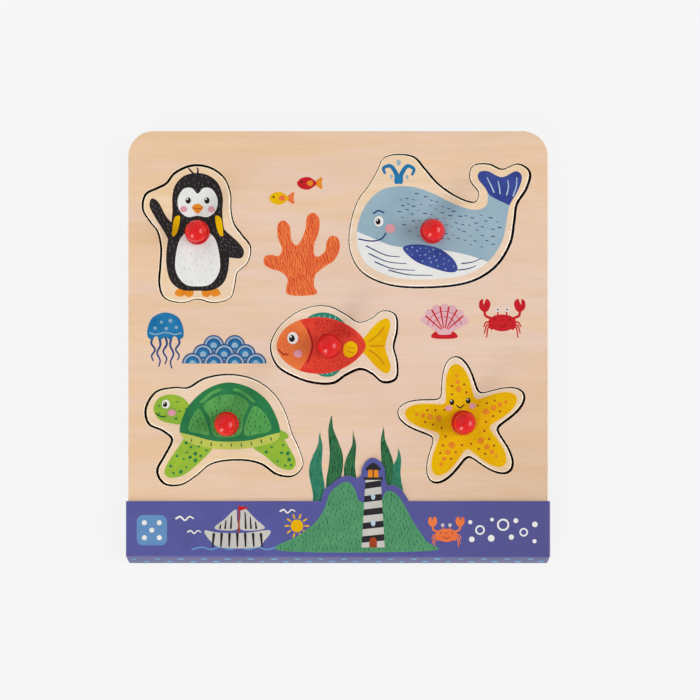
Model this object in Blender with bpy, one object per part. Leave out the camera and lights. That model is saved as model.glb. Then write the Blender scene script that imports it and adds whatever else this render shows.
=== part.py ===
"""A wooden inset puzzle: a plywood board with five knobbed pieces in recesses of their own outline,
and the folded card sleeve that it is sold in, which slips over the board's lower edge.

All lengths are in metres. The board lies flat, face up: +X is the picture's right and +Y is its top.
"""

import math

import bmesh
import bpy
from mathutils import Vector

# Gap left between pieces that are glued, seated or slipped together.
SEAT_GAP = 0.0003

# How finely rounded edges are drawn, and how sharp an edge is that gets rounded or drawn as a crease.
ROUNDING_SEGMENTS = 2
SHARP_ANGLE = math.radians(40.0)
MERGE_DISTANCE = 1e-6

# Plywood board: a frame sheet with cut-out recesses, glued to a plain backing sheet.
BOARD_WIDTH = 0.225
BOARD_HEIGHT = 0.225
BOARD_CORNER_RADIUS = 0.0135
BOARD_CORNER_STEPS = 8
FRAME_THICKNESS = 0.005
BACKING_THICKNESS = 0.003
BOARD_EDGE_ROUNDING = 0.0006

# Puzzle pieces: a little thicker than the frame, so that they stand slightly proud of it.
PIECE_THICKNESS = 0.0056
PIECE_EDGE_ROUNDING = 0.0006
RECESS_CLEARANCE = 0.0009
OUTLINE_STEPS = 4

# Turned knobs: a rounded foot, a short neck and a ball, on a glued dowel.
KNOB_FOOT_RADIUS = 0.0066
KNOB_FOOT_HEIGHT = 0.0029
KNOB_NECK_HEIGHT = 0.0018
KNOB_NECK_STEP = 0.0012
KNOB_BALL_RADIUS = 0.0057
KNOB_SIDES = 24
KNOB_BALL_STEPS = 9
KNOB_FOOT_STEPS = 5
DOWEL_RADIUS = 0.002
DOWEL_SIDES = 16
DOWEL_DEPTH_IN_KNOB = 0.007

# Card sleeve: a pocket with a slanted lower side, and a front panel with a raised die-cut tab.
CARD_THICKNESS = 0.0005
CARD_FOLD_RADIUS = 0.0005
SLEEVE_SIDE_PLAY = 0.0007
SLEEVE_COVER = 0.0268
SLEEVE_BACK_COVER = 0.0248
SLEEVE_LOWER_PLAY = 0.0028
SLEEVE_SLANT = 0.005
TAB_FROM_LEFT = 0.1035
TAB_CURVE_STEPS = 3
CUT_MARGIN = 0.002

# Upper line of the die-cut tab, from its left foot to its right foot. X is counted from the left foot and
# Y from the sleeve's upper edge: a round dune, a tall round-topped tower and a low hump.
TAB_LINE = (
    (0.0000, 0.0000),
    (0.0015, 0.0055),
    (0.0055, 0.0092),
    (0.0100, 0.0125),
    (0.0145, 0.0136),
    (0.0185, 0.0124),
    (0.0210, 0.0134),
    (0.0218, 0.0175),
    (0.0240, 0.0213),
    (0.0278, 0.0232),
    (0.0316, 0.0213),
    (0.0338, 0.0175),
    (0.0344, 0.0120),
    (0.0356, 0.0086),
    (0.0390, 0.0084),
    (0.0426, 0.0062),
    (0.0450, 0.0032),
    (0.0470, 0.0000),
)

# Piece outlines, counter-clockwise, counted from each piece's knob in units of the drawing.
DRAWING_UNIT = 0.00093
WHALE_OUTLINE = (
    (-47.5, 0.0),
    (-46.5, -13.0),
    (-39.0, -24.0),
    (-23.0, -30.5),
    (0.0, -31.5),
    (21.0, -28.5),
    (35.5, -20.0),
    (44.0, -7.0),
    (46.5, 6.0),
    (48.0, 16.0),
    (53.5, 25.0),
    (55.5, 34.0),
    (49.0, 38.5),
    (40.0, 35.5),
    (32.0, 38.5),
    (23.5, 37.5),
    (22.0, 30.0),
    (27.0, 22.5),
    (24.0, 16.5),
    (14.0, 19.5),
    (3.0, 27.0),
    (-5.0, 36.0),
    (-11.0, 42.5),
    (-20.0, 44.0),
    (-28.0, 42.0),
    (-31.5, 35.0),
    (-36.0, 27.0),
    (-43.5, 16.0),
)
PENGUIN_OUTLINE = (
    (0.0, -38.0),
    (9.0, -40.0),
    (18.5, -37.5),
    (21.0, -30.0),
    (22.5, -23.0),
    (28.5, -17.0),
    (30.0, -8.5),
    (25.0, -1.5),
    (20.5, 5.0),
    (18.8, 13.0),
    (18.5, 22.0),
    (15.0, 31.0),
    (7.0, 36.8),
    (-3.0, 38.0),
    (-12.5, 34.0),
    (-17.5, 28.0),
    (-23.0, 25.0),
    (-29.5, 21.5),
    (-31.0, 13.5),
    (-27.0, 6.5),
    (-22.5, 0.5),
    (-20.5, -9.0),
    (-21.0, -20.0),
    (-21.5, -30.0),
    (-18.5, -37.5),
    (-9.0, -40.0),
)
FISH_OUTLINE = (
    (-33.5, 0.0),
    (-29.5, -11.0),
    (-18.5, -17.5),
    (-8.0, -20.5),
    (2.0, -20.5),
    (9.0, -16.0),
    (17.5, -12.5),
    (24.5, -15.0),
    (31.0, -20.0),
    (38.0, -18.0),
    (38.5, -9.0),
    (36.5, 0.0),
    (38.5, 9.5),
    (37.5, 18.0),
    (30.5, 20.0),
    (24.0, 15.5),
    (16.5, 13.5),
    (9.0, 18.0),
    (0.0, 22.5),
    (-10.0, 22.5),
    (-20.0, 18.5),
    (-29.0, 10.5),
)
TURTLE_OUTLINE = (
    (-46.0, 9.0),
    (-44.5, 0.5),
    (-36.5, -3.5),
    (-31.0, -9.0),
    (-35.0, -18.0),
    (-39.5, -27.0),
    (-35.5, -34.0),
    (-26.5, -34.5),
    (-18.0, -29.5),
    (-10.0, -23.0),
    (0.0, -20.5),
    (12.0, -20.5),
    (21.0, -23.0),
    (29.0, -28.5),
    (38.0, -29.5),
    (43.5, -23.5),
    (41.0, -14.0),
    (37.0, -5.0),
    (33.5, 6.0),
    (27.0, 17.0),
    (16.0, 25.0),
    (2.0, 28.0),
    (-12.0, 26.0),
    (-22.0, 20.5),
    (-30.5, 20.5),
    (-40.5, 18.0),
)

# Starfish outline: a mean radius with five arms, and a second wave that rounds the notches between them.
STARFISH_RADIUS = 0.026
STARFISH_ARM = 0.0086
STARFISH_ROUNDING = 0.0007
STARFISH_ARMS = 5
STARFISH_TURN = math.radians(98.0)
STARFISH_POINTS = 90

# Where each knob stands, counted inwards from the board's edges, or from its middle for the fish.
WHALE_FROM_RIGHT = 0.0615
WHALE_FROM_TOP = 0.054
PENGUIN_FROM_LEFT = 0.037
PENGUIN_FROM_TOP = 0.054
TURTLE_FROM_LEFT = 0.0525
TURTLE_FROM_BOTTOM = 0.068
STARFISH_FROM_RIGHT = 0.045
STARFISH_FROM_BOTTOM = 0.0685
FISH_FROM_MIDDLE = (-0.0045, -0.0032)

# How far each piece lies off the middle of its recess, since a loose piece never lies quite centred.
WHALE_SHIFT = (-0.0005, 0.0002)
PENGUIN_SHIFT = (0.0003, -0.0004)
FISH_SHIFT = (-0.0002, 0.0005)
TURTLE_SHIFT = (0.0005, 0.0001)
STARFISH_SHIFT = (-0.0004, 0.0003)

# Heights, worked out from the stack: card, backing, frame, card.
BACKING_LOW = CARD_THICKNESS + SEAT_GAP
BACKING_TOP = BACKING_LOW + BACKING_THICKNESS
FRAME_LOW = BACKING_TOP + SEAT_GAP
FRAME_TOP = FRAME_LOW + FRAME_THICKNESS
PIECE_LOW = BACKING_TOP + SEAT_GAP
KNOB_LIFT = PIECE_THICKNESS + SEAT_GAP
SLEEVE_TOP = FRAME_TOP + SEAT_GAP + CARD_THICKNESS

# The board's edges and the sleeve's, counted from the board's middle.
BOARD_SIDE = BOARD_WIDTH / 2
BOARD_END = BOARD_HEIGHT / 2
SLEEVE_SIDE = BOARD_SIDE + SLEEVE_SIDE_PLAY + CARD_THICKNESS
SLEEVE_EDGE = SLEEVE_COVER - BOARD_END
SLEEVE_BACK_EDGE = SLEEVE_BACK_COVER - BOARD_END
SLEEVE_FRONT_FOLD = -BOARD_END - SLEEVE_LOWER_PLAY - CARD_THICKNESS
SLEEVE_BACK_FOLD = SLEEVE_FRONT_FOLD - SLEEVE_SLANT

# The board's middle, set so that the origin lies under the middle of the whole packed puzzle.
BOARD_MIDDLE_Y = -(BOARD_END + SLEEVE_BACK_FOLD) / 2


def clear_scene():
    for item in list(bpy.data.objects):
        bpy.data.objects.remove(item, do_unlink=True)


def material(name, colour, roughness):
    """A plain finish. No part of the puzzle is metal."""
    made = bpy.data.materials.new(name)
    made.use_nodes = True
    shader = made.node_tree.nodes["Principled BSDF"]
    shader.inputs["Base Color"].default_value = (*colour, 1.0)
    shader.inputs["Roughness"].default_value = roughness
    shader.inputs["Metallic"].default_value = 0.0
    made.diffuse_color = (*colour, 1.0)
    return made


def empty(name, place, parent=None):
    made = bpy.data.objects.new(name, None)
    bpy.context.scene.collection.objects.link(made)
    made.location = place
    made.parent = parent
    return made


def placed(mesh, finish, parent):
    """The object of a mesh, under the mesh's name."""
    made = bpy.data.objects.new(mesh.name, mesh)
    bpy.context.scene.collection.objects.link(made)
    made.parent = parent
    if finish is not None:
        mesh.materials.append(finish)
    return made


def solid(name, shape, finish, parent):
    """An object made from a bmesh, which it uses up."""
    bmesh.ops.recalc_face_normals(shape, faces=shape.faces)
    mesh = bpy.data.meshes.new(name)
    shape.to_mesh(mesh)
    shape.free()
    return placed(mesh, finish, parent)


def extruded(points, direction):
    """A bmesh of the flat face through the points, pushed along a direction."""
    shape = bmesh.new()
    face = shape.faces.new([shape.verts.new(point) for point in points])
    pushed = bmesh.ops.extrude_face_region(shape, geom=[face])["geom"]
    corners = [item for item in pushed if isinstance(item, bmesh.types.BMVert)]
    bmesh.ops.translate(shape, vec=direction, verts=corners)
    return shape


def prism(name, loop, low, high, finish, parent):
    """A sheet piece: the loop is its plan, between two heights."""
    shape = extruded([(x, y, low) for x, y in loop], (0.0, 0.0, high - low))
    return solid(name, shape, finish, parent)


def round_edges(item, radius):
    bevel = item.modifiers.new("Rounded edges", "BEVEL")
    bevel.width = radius
    bevel.segments = ROUNDING_SEGMENTS
    bevel.limit_method = "ANGLE"
    bevel.angle_limit = SHARP_ANGLE
    return bevel


def round_rim(item, radius, height):
    """Rounds only the edges that run round a sheet at one height."""
    mesh = item.data
    weights = mesh.attributes.new("bevel_weight_edge", "FLOAT", "EDGE")
    rim = {corner.index for corner in mesh.vertices if math.isclose(corner.co.z, height, rel_tol=1e-5)}
    for edge in mesh.edges:
        weights.data[edge.index].value = float(rim.issuperset(edge.vertices))
    round_edges(item, radius).limit_method = "WEIGHT"


def cut(item, cutter):
    """Takes the cutter's shape out of an object."""
    cutter.hide_render = True
    cutter.display_type = "WIRE"
    boolean = item.modifiers.new("Cut " + cutter.name, "BOOLEAN")
    boolean.operation = "DIFFERENCE"
    boolean.object = cutter


def shade_round(item):
    item.data.shade_smooth()
    item.data.set_sharp_from_angle(angle=SHARP_ANGLE)


def curve_through(knots, steps, closed):
    """Points of a smooth curve through the knots. An open one ends on its first and last knot."""
    count = len(knots)
    points = []
    for i in range(count if closed else count - 1):
        near = []
        for k in (i - 1, i, i + 1, i + 2):
            near.append(Vector(knots[k % count] if closed else knots[min(max(k, 0), count - 1)]))
        before, start, end, after = near
        for step in range(steps):
            t = step / steps
            linear = (end - before) * t
            square = (2 * before - 5 * start + 4 * end - after) * t * t
            cube = (3 * start - before - 3 * end + after) * t**3
            points.append(start + 0.5 * (linear + square + cube))
    if not closed:
        points.append(Vector(knots[-1]))
    return points


def grown(loop, distance):
    """A counter-clockwise loop moved outwards by the same distance all round."""
    count = len(loop)
    moved = []
    for i, point in enumerate(loop):
        along = (loop[(i + 1) % count] - loop[i - 1]).normalized()
        moved.append(point + distance * Vector((along.y, -along.x)))
    return moved


def circle(radius, sides):
    angles = [2 * math.pi * i / sides for i in range(sides)]
    return [Vector((radius * math.cos(a), radius * math.sin(a))) for a in angles]


def figure_outline(knots):
    return [DRAWING_UNIT * point for point in curve_through(knots, OUTLINE_STEPS, closed=True)]


def starfish_outline():
    points = []
    for i in range(STARFISH_POINTS):
        angle = 2 * math.pi * i / STARFISH_POINTS
        wave = STARFISH_ARMS * (angle - STARFISH_TURN)
        radius = STARFISH_RADIUS + STARFISH_ARM * math.cos(wave) + STARFISH_ROUNDING * math.cos(2 * wave)
        points.append(Vector((radius * math.cos(angle), radius * math.sin(angle))))
    return points


def board_outline():
    """The board's rounded square, counter-clockwise."""
    points = []
    corner_x = BOARD_SIDE - BOARD_CORNER_RADIUS
    corner_y = BOARD_END - BOARD_CORNER_RADIUS
    for quarter, (side_x, side_y) in enumerate(((1, 1), (-1, 1), (-1, -1), (1, -1))):
        centre = Vector((side_x * corner_x, side_y * corner_y))
        for step in range(BOARD_CORNER_STEPS + 1):
            angle = math.pi / 2 * (quarter + step / BOARD_CORNER_STEPS)
            points.append(centre + BOARD_CORNER_RADIUS * Vector((math.cos(angle), math.sin(angle))))
    return points


def build_backing(finish, board):
    backing = prism("backing_board", board_outline(), BACKING_LOW, BACKING_TOP, finish, board)
    round_rim(backing, BOARD_EDGE_ROUNDING, BACKING_LOW)


def build_frame(finish, board, motifs):
    """The front sheet, with one recess for each piece."""
    frame = prism("frame_board", board_outline(), FRAME_LOW, FRAME_TOP, finish, board)
    round_rim(frame, BOARD_EDGE_ROUNDING, FRAME_TOP)
    low = FRAME_LOW - CUT_MARGIN
    high = FRAME_TOP + CUT_MARGIN
    for name, loop, place, _, _ in motifs:
        recess = [point + Vector(place) for point in grown(loop, RECESS_CLEARANCE)]
        cut(frame, prism(name + "_recess_cutter", recess, low, high, None, board))


def build_piece(name, loop, finish, lift):
    """A flat piece cut to its outline, with a hole for the dowel."""
    piece = prism(name + "_piece", loop, 0.0, PIECE_THICKNESS, finish, lift)
    round_edges(piece, PIECE_EDGE_ROUNDING)
    hole = circle(DOWEL_RADIUS + SEAT_GAP, DOWEL_SIDES)
    high = PIECE_THICKNESS + CUT_MARGIN
    cut(piece, prism(name + "_dowel_hole_cutter", hole, -CUT_MARGIN, high, None, lift))


def knob_profile():
    """Half of the knob's section, from the top of its blind hole, down, out and up to the crown."""
    hole_radius = DOWEL_RADIUS + SEAT_GAP
    foot_round = KNOB_FOOT_HEIGHT / 2
    neck_radius = KNOB_BALL_RADIUS - KNOB_NECK_STEP
    neck_top = KNOB_FOOT_HEIGHT + KNOB_NECK_HEIGHT
    ball_centre = neck_top + math.sqrt(KNOB_BALL_RADIUS**2 - neck_radius**2)
    profile = [(0.0, DOWEL_DEPTH_IN_KNOB), (hole_radius, DOWEL_DEPTH_IN_KNOB), (hole_radius, 0.0)]
    for step in range(KNOB_FOOT_STEPS + 1):
        angle = math.pi * (step / KNOB_FOOT_STEPS - 0.5)
        out = KNOB_FOOT_RADIUS - foot_round + foot_round * math.cos(angle)
        profile.append((out, foot_round + foot_round * math.sin(angle)))
    profile.append((neck_radius, KNOB_FOOT_HEIGHT))
    start = -math.acos(neck_radius / KNOB_BALL_RADIUS)
    for step in range(KNOB_BALL_STEPS):
        angle = start + (math.pi / 2 - start) * step / KNOB_BALL_STEPS
        out = KNOB_BALL_RADIUS * math.cos(angle)
        profile.append((out, ball_centre + KNOB_BALL_RADIUS * math.sin(angle)))
    profile.append((0.0, ball_centre + KNOB_BALL_RADIUS))
    return profile


def build_knob(name, finish, lift):
    shape = bmesh.new()
    line = [shape.verts.new((out, 0.0, up)) for out, up in knob_profile()]
    edges = [shape.edges.new(pair) for pair in zip(line, line[1:])]
    bmesh.ops.spin(
        shape,
        geom=line + edges,
        cent=(0.0, 0.0, 0.0),
        axis=(0.0, 0.0, 1.0),
        angle=2 * math.pi,
        steps=KNOB_SIDES,
    )
    bmesh.ops.remove_doubles(shape, verts=shape.verts, dist=MERGE_DISTANCE)
    knob = solid(name + "_knob", shape, finish, lift)
    knob.location.z = KNOB_LIFT
    shade_round(knob)


def build_dowel(name, finish, lift):
    """The glued pin that runs through the piece and into the knob."""
    top = KNOB_LIFT + DOWEL_DEPTH_IN_KNOB - SEAT_GAP
    dowel = prism(name + "_dowel", circle(DOWEL_RADIUS, DOWEL_SIDES), SEAT_GAP, top, finish, lift)
    shade_round(dowel)


def build_sleeve(finish, slide):
    """One folded card: front and back panels, two side panels and a slanted lower panel.

    The folded sheet is the card's outer face, and its thickness goes inwards.
    """
    foot = Vector((TAB_FROM_LEFT - BOARD_SIDE, SLEEVE_EDGE))
    tab = [foot + point for point in curve_through(TAB_LINE, TAB_CURVE_STEPS, closed=False)]
    side = SLEEVE_SIDE
    corners = [
        (-side, SLEEVE_FRONT_FOLD, SLEEVE_TOP),
        (side, SLEEVE_FRONT_FOLD, SLEEVE_TOP),
        (side, SLEEVE_EDGE, SLEEVE_TOP),
        (-side, SLEEVE_EDGE, SLEEVE_TOP),
        (-side, SLEEVE_BACK_FOLD, 0.0),
        (side, SLEEVE_BACK_FOLD, 0.0),
        (side, SLEEVE_BACK_EDGE, 0.0),
        (-side, SLEEVE_BACK_EDGE, 0.0),
    ]
    first = len(corners)
    right_to_left = range(first + len(tab) - 1, first - 1, -1)
    front = (0, 1, 2, *right_to_left, 3)
    lower = (4, 5, 1, 0)
    back = (4, 7, 6, 5)
    right = (5, 6, 2, 1)
    left = (4, 0, 3, 7)
    mesh = bpy.data.meshes.new("card_sleeve")
    points = corners + [(x, y, SLEEVE_TOP) for x, y in tab]
    mesh.from_pydata(points, [], [front, lower, back, right, left])
    sleeve = placed(mesh, finish, slide)
    round_edges(sleeve, CARD_FOLD_RADIUS + CARD_THICKNESS)
    card = sleeve.modifiers.new("Card", "SOLIDIFY")
    card.thickness = CARD_THICKNESS
    card.offset = -1.0
    card.use_even_offset = True


def build():
    clear_scene()
    plywood = material("plywood", (0.79, 0.56, 0.39), 0.55)
    backing_ply = material("backing plywood", (0.74, 0.52, 0.35), 0.6)
    dowel_wood = material("dowel wood", (0.71, 0.53, 0.34), 0.6)
    red_lacquer = material("red lacquer", (0.72, 0.02, 0.02), 0.2)
    card = material("violet card", (0.10, 0.10, 0.34), 0.45)
    blue = material("blue print", (0.25, 0.39, 0.48), 0.5)
    black = material("black print", (0.022, 0.02, 0.02), 0.5)
    scarlet = material("scarlet print", (0.65, 0.07, 0.03), 0.5)
    green = material("green print", (0.27, 0.42, 0.05), 0.5)
    yellow = material("yellow print", (0.72, 0.42, 0.01), 0.5)

    whale = figure_outline(WHALE_OUTLINE)
    whale_place = (BOARD_SIDE - WHALE_FROM_RIGHT, BOARD_END - WHALE_FROM_TOP)
    penguin = figure_outline(PENGUIN_OUTLINE)
    penguin_place = (PENGUIN_FROM_LEFT - BOARD_SIDE, BOARD_END - PENGUIN_FROM_TOP)
    fish = figure_outline(FISH_OUTLINE)
    turtle = figure_outline(TURTLE_OUTLINE)
    turtle_place = (TURTLE_FROM_LEFT - BOARD_SIDE, TURTLE_FROM_BOTTOM - BOARD_END)
    starfish = starfish_outline()
    starfish_place = (BOARD_SIDE - STARFISH_FROM_RIGHT, STARFISH_FROM_BOTTOM - BOARD_END)
    motifs = (
        ("whale", whale, whale_place, WHALE_SHIFT, blue),
        ("penguin", penguin, penguin_place, PENGUIN_SHIFT, black),
        ("fish", fish, FISH_FROM_MIDDLE, FISH_SHIFT, scarlet),
        ("turtle", turtle, turtle_place, TURTLE_SHIFT, green),
        ("starfish", starfish, starfish_place, STARFISH_SHIFT, yellow),
    )

    board = empty("board", (0.0, BOARD_MIDDLE_Y, 0.0))
    build_backing(backing_ply, board)
    build_frame(plywood, board, motifs)
    for name, loop, place, shift, finish in motifs:
        knob_x, knob_y = Vector(place) + Vector(shift)
        lift = empty(name + "_lift", (knob_x, knob_y, PIECE_LOW), board)
        build_piece(name, loop, finish, lift)
        build_knob(name, red_lacquer, lift)
        build_dowel(name, dowel_wood, lift)
    slide = empty("sleeve_slide", (0.0, 0.0, 0.0), board)
    build_sleeve(card, slide)


build()
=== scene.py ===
"""The finishes of a wooden inset puzzle.

A printed plywood board, five sea animals with turned knobs and a card sleeve over the board's lower edge.
"""

import math
from collections import namedtuple

import bmesh
import bpy
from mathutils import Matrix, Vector
from mathutils.geometry import tessellate_polygon


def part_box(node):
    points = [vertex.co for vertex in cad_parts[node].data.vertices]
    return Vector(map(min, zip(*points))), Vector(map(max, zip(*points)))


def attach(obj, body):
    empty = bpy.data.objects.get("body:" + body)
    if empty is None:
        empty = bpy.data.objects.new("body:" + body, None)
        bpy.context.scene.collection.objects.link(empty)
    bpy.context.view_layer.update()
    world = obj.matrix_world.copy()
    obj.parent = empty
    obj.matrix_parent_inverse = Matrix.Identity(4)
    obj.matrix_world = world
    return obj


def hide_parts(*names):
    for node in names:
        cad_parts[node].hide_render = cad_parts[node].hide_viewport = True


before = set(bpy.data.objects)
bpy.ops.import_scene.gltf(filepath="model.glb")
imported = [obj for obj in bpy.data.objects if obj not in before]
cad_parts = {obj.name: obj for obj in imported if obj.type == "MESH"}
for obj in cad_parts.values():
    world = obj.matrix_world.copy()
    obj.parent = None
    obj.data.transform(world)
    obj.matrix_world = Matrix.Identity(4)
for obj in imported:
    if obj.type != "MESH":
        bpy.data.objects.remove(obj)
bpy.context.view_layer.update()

MM = 0.001

# Places read from the frame.
BOARD_LOW, BOARD_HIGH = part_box("frame_board")
BACKING_LOW, BACKING_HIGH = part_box("backing_board")
SLEEVE_LOW, SLEEVE_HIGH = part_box("card_sleeve")
BOARD_MIDDLE = (BOARD_LOW + BOARD_HIGH) / 2

# Board: corner radius, and the rounding of its rims and of the recesses' crisp upper edges.
BOARD_CORNER = 13.5 * MM
BOARD_ROUNDING = 0.6 * MM
RECESS_ROUNDING = 0.3 * MM
CORNER_STEPS = 24
ROUND_STEPS = 4

# Pieces: rounded all round, and laid a little off the middle of recesses that are this much larger. They
# are drawn in units that measure PIECE_SCALE millimetres.
PIECE_ROUNDING = 0.6 * MM
RECESS_CLEARANCE = 0.9 * MM
OUTLINE_STEPS = 10
PIECE_SCALE = 0.93
UNIT = PIECE_SCALE * MM
SHIFTS = {
    "whale": (-0.5 * MM, 0.2 * MM),
    "penguin": (0.3 * MM, -0.4 * MM),
    "fish": (-0.2 * MM, 0.5 * MM),
    "turtle": (0.5 * MM, 0.1 * MM),
    "starfish": (-0.4 * MM, 0.3 * MM),
}

# Knobs, turned from foot to ball, and their glued dowels.
KNOB_SIDES = 72
KNOB_FOOT_RADIUS = 6.6 * MM
KNOB_FOOT_HEIGHT = 2.9 * MM
KNOB_FOOT_ROUNDING = 0.9 * MM
KNOB_NECK_HEIGHT = 1.8 * MM
KNOB_NECK_RADIUS = 4.5 * MM
KNOB_BALL_RADIUS = 5.7 * MM
KNOB_FOOT_STEPS = 8
KNOB_NECK_STEPS = 5
KNOB_BALL_STEPS = 26
KNOB_BALL_LAST = 89
DOWEL_RADIUS = 2.2 * MM
DOWEL_PLAY = 0.05 * MM
DOWEL_DEPTH_IN_KNOB = 7.0 * MM
DOWEL_CHAMFER = 0.4 * MM
DOWEL_FLUTES = 12
FLUTE_DEPTH = 0.12 * MM

# Card sleeve: its folds, its slanted lower panel, its tab and how far it covers the board.
CARD = 0.5 * MM
CARD_FOLD = 1.0 * MM
CARD_FOLD_STEPS = 6
FOLD_TRIM = 0.08 * MM
SLEEVE_SLANT = 5.0 * MM
SLEEVE_BACK_FOLD = 120.8 * MM
TAB_FROM_LEFT = 103.5 * MM
TAB_STEPS = 10
SLEEVE_COVER = 26.8 * MM
SLEEVE_BACK_COVER = 24.8 * MM

# How far an edge turns to count as sharp, and the smaller turn that is enough on the folded card.
SHARP_ANGLE = math.radians(40.0)
CARD_SHARP_ANGLE = math.radians(25.0)

# Printed inks: how far each layer stands above the one before and, as shares of that step, how far the
# outlines in one layer climb and how far small marks stand above their layer.
INK_STEP = 0.015 * MM
OUTLINES_CLIMB = 0.5
MARKS_ABOVE = 0.25

# Drawn lines: the points from knot to knot, and round each end.
BRUSH_STEPS = 6
CAP_STEPS = 4

# Small marks: their sides, and how many strewn ones are tried on a square as wide as their gap.
MARK_SIDES = 6
MARKS_TRIED = 4.0

# Dashes on the sleeve's slanted panel.
DASH_SIDES = 14
DASH_SPACING = 12.3 * MM
DASH_HEIGHT = 4 * INK_STEP
STRIP_MARGIN = 4.0 * MM

# Recess floors: the ground's gap to the wall, and how far in and out of a piece's outline its marks lie. The
# ticks just outside the outline show in the gap round a piece: printed ticks that are partly painted glints
# there.
GROUND_GAP = 0.02 * MM
STITCH_INSET = 2.4 * MM
GLINT_TICK_OUTSET = 0.1 * MM

# Printed kelp: where it starts, in millimetres from the board's middle. Then a blade's half waves and
# where they begin, its sway at the foot and what rising adds to it, and its width at the ends and what its
# middle adds to it.
KELP_FOOT = -88
KELP_STEPS = 7
KELP_HALF_WAVES = 2.6
KELP_WAVE_START = 0.6
KELP_FOOT_SWAY = 0.35
KELP_ADDED_SWAY = 0.65
KELP_END_WIDTH = 0.8
KELP_ADDED_WIDTH = 0.45

# Upper line of the sleeve's tab, in millimetres from its left foot: dune, tower and low hump.
TAB_LINE = (
    (0.0, 0.0), (1.5, 5.5), (5.5, 9.2), (10.0, 12.5), (14.5, 13.6), (18.5, 12.4), (21.0, 13.4),
    (21.8, 17.5), (24.0, 21.3), (27.8, 23.2), (31.6, 21.3), (33.8, 17.5), (34.4, 12.0), (35.6, 8.6),
    (39.0, 8.4), (42.6, 6.2), (45.0, 3.2), (47.0, 0.0),
)

# Outlines of the pieces, counter-clockwise from each knob, in drawing units.
OUTLINES = {
    "whale": (
        (-47.5, 0.0), (-46.5, -13.0), (-39.0, -24.0), (-23.0, -30.5), (0.0, -31.5), (21.0, -28.5),
        (35.5, -20.0), (44.0, -7.0), (46.5, 6.0), (48.0, 16.0), (53.5, 25.0), (55.5, 34.0),
        (49.0, 38.5), (40.0, 35.5), (32.0, 38.5), (23.5, 37.5), (22.0, 30.0), (27.0, 22.5),
        (24.0, 16.5), (14.0, 19.5), (3.0, 27.0), (-5.0, 36.0), (-11.0, 42.5), (-20.0, 44.0),
        (-28.0, 42.0), (-31.5, 35.0), (-36.0, 27.0), (-43.5, 16.0),
    ),
    "penguin": (
        (0.0, -38.0), (9.0, -40.0), (18.5, -37.5), (21.0, -30.0), (22.5, -23.0), (28.5, -17.0),
        (30.0, -8.5), (25.0, -1.5), (20.5, 5.0), (18.8, 13.0), (18.5, 22.0), (15.0, 31.0),
        (7.0, 36.8), (-3.0, 38.0), (-12.5, 34.0), (-17.5, 28.0), (-23.0, 25.0), (-29.5, 21.5),
        (-31.0, 13.5), (-27.0, 6.5), (-22.5, 0.5), (-20.5, -9.0), (-21.0, -20.0), (-21.5, -30.0),
        (-18.5, -37.5), (-9.0, -40.0),
    ),
    "fish": (
        (-33.5, 0.0), (-29.5, -11.0), (-18.5, -17.5), (-8.0, -20.5), (2.0, -20.5), (9.0, -16.0),
        (17.5, -12.5), (24.5, -15.0), (31.0, -20.0), (38.0, -18.0), (38.5, -9.0), (36.5, 0.0),
        (38.5, 9.5), (37.5, 18.0), (30.5, 20.0), (24.0, 15.5), (16.5, 13.5), (9.0, 18.0),
        (0.0, 22.5), (-10.0, 22.5), (-20.0, 18.5), (-29.0, 10.5),
    ),
    "turtle": (
        (-46.0, 9.0), (-44.5, 0.5), (-36.5, -3.5), (-31.0, -9.0), (-35.0, -18.0), (-39.5, -27.0),
        (-35.5, -34.0), (-26.5, -34.5), (-18.0, -29.5), (-10.0, -23.0), (0.0, -20.5), (12.0, -20.5),
        (21.0, -23.0), (29.0, -28.5), (38.0, -29.5), (43.5, -23.5), (41.0, -14.0), (37.0, -5.0),
        (33.5, 6.0), (27.0, 17.0), (16.0, 25.0), (2.0, 28.0), (-12.0, 26.0), (-22.0, 20.5),
        (-30.5, 20.5), (-40.5, 18.0),
    ),
}

# The starfish follows a rule: a mean radius with five arms, in drawing units. Its face is on one of them.
STARFISH_RADIUS = 26.0 / PIECE_SCALE
STARFISH_ARM = 8.6 / PIECE_SCALE
STARFISH_ROUNDING = 0.7 / PIECE_SCALE
STARFISH_ARMS = 5
STARFISH_TURN = math.radians(98.0)
STARFISH_POINTS = 240
STARFISH_FACE_ARM = 0
STARFISH_FACE_REACH = 17.5

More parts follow.
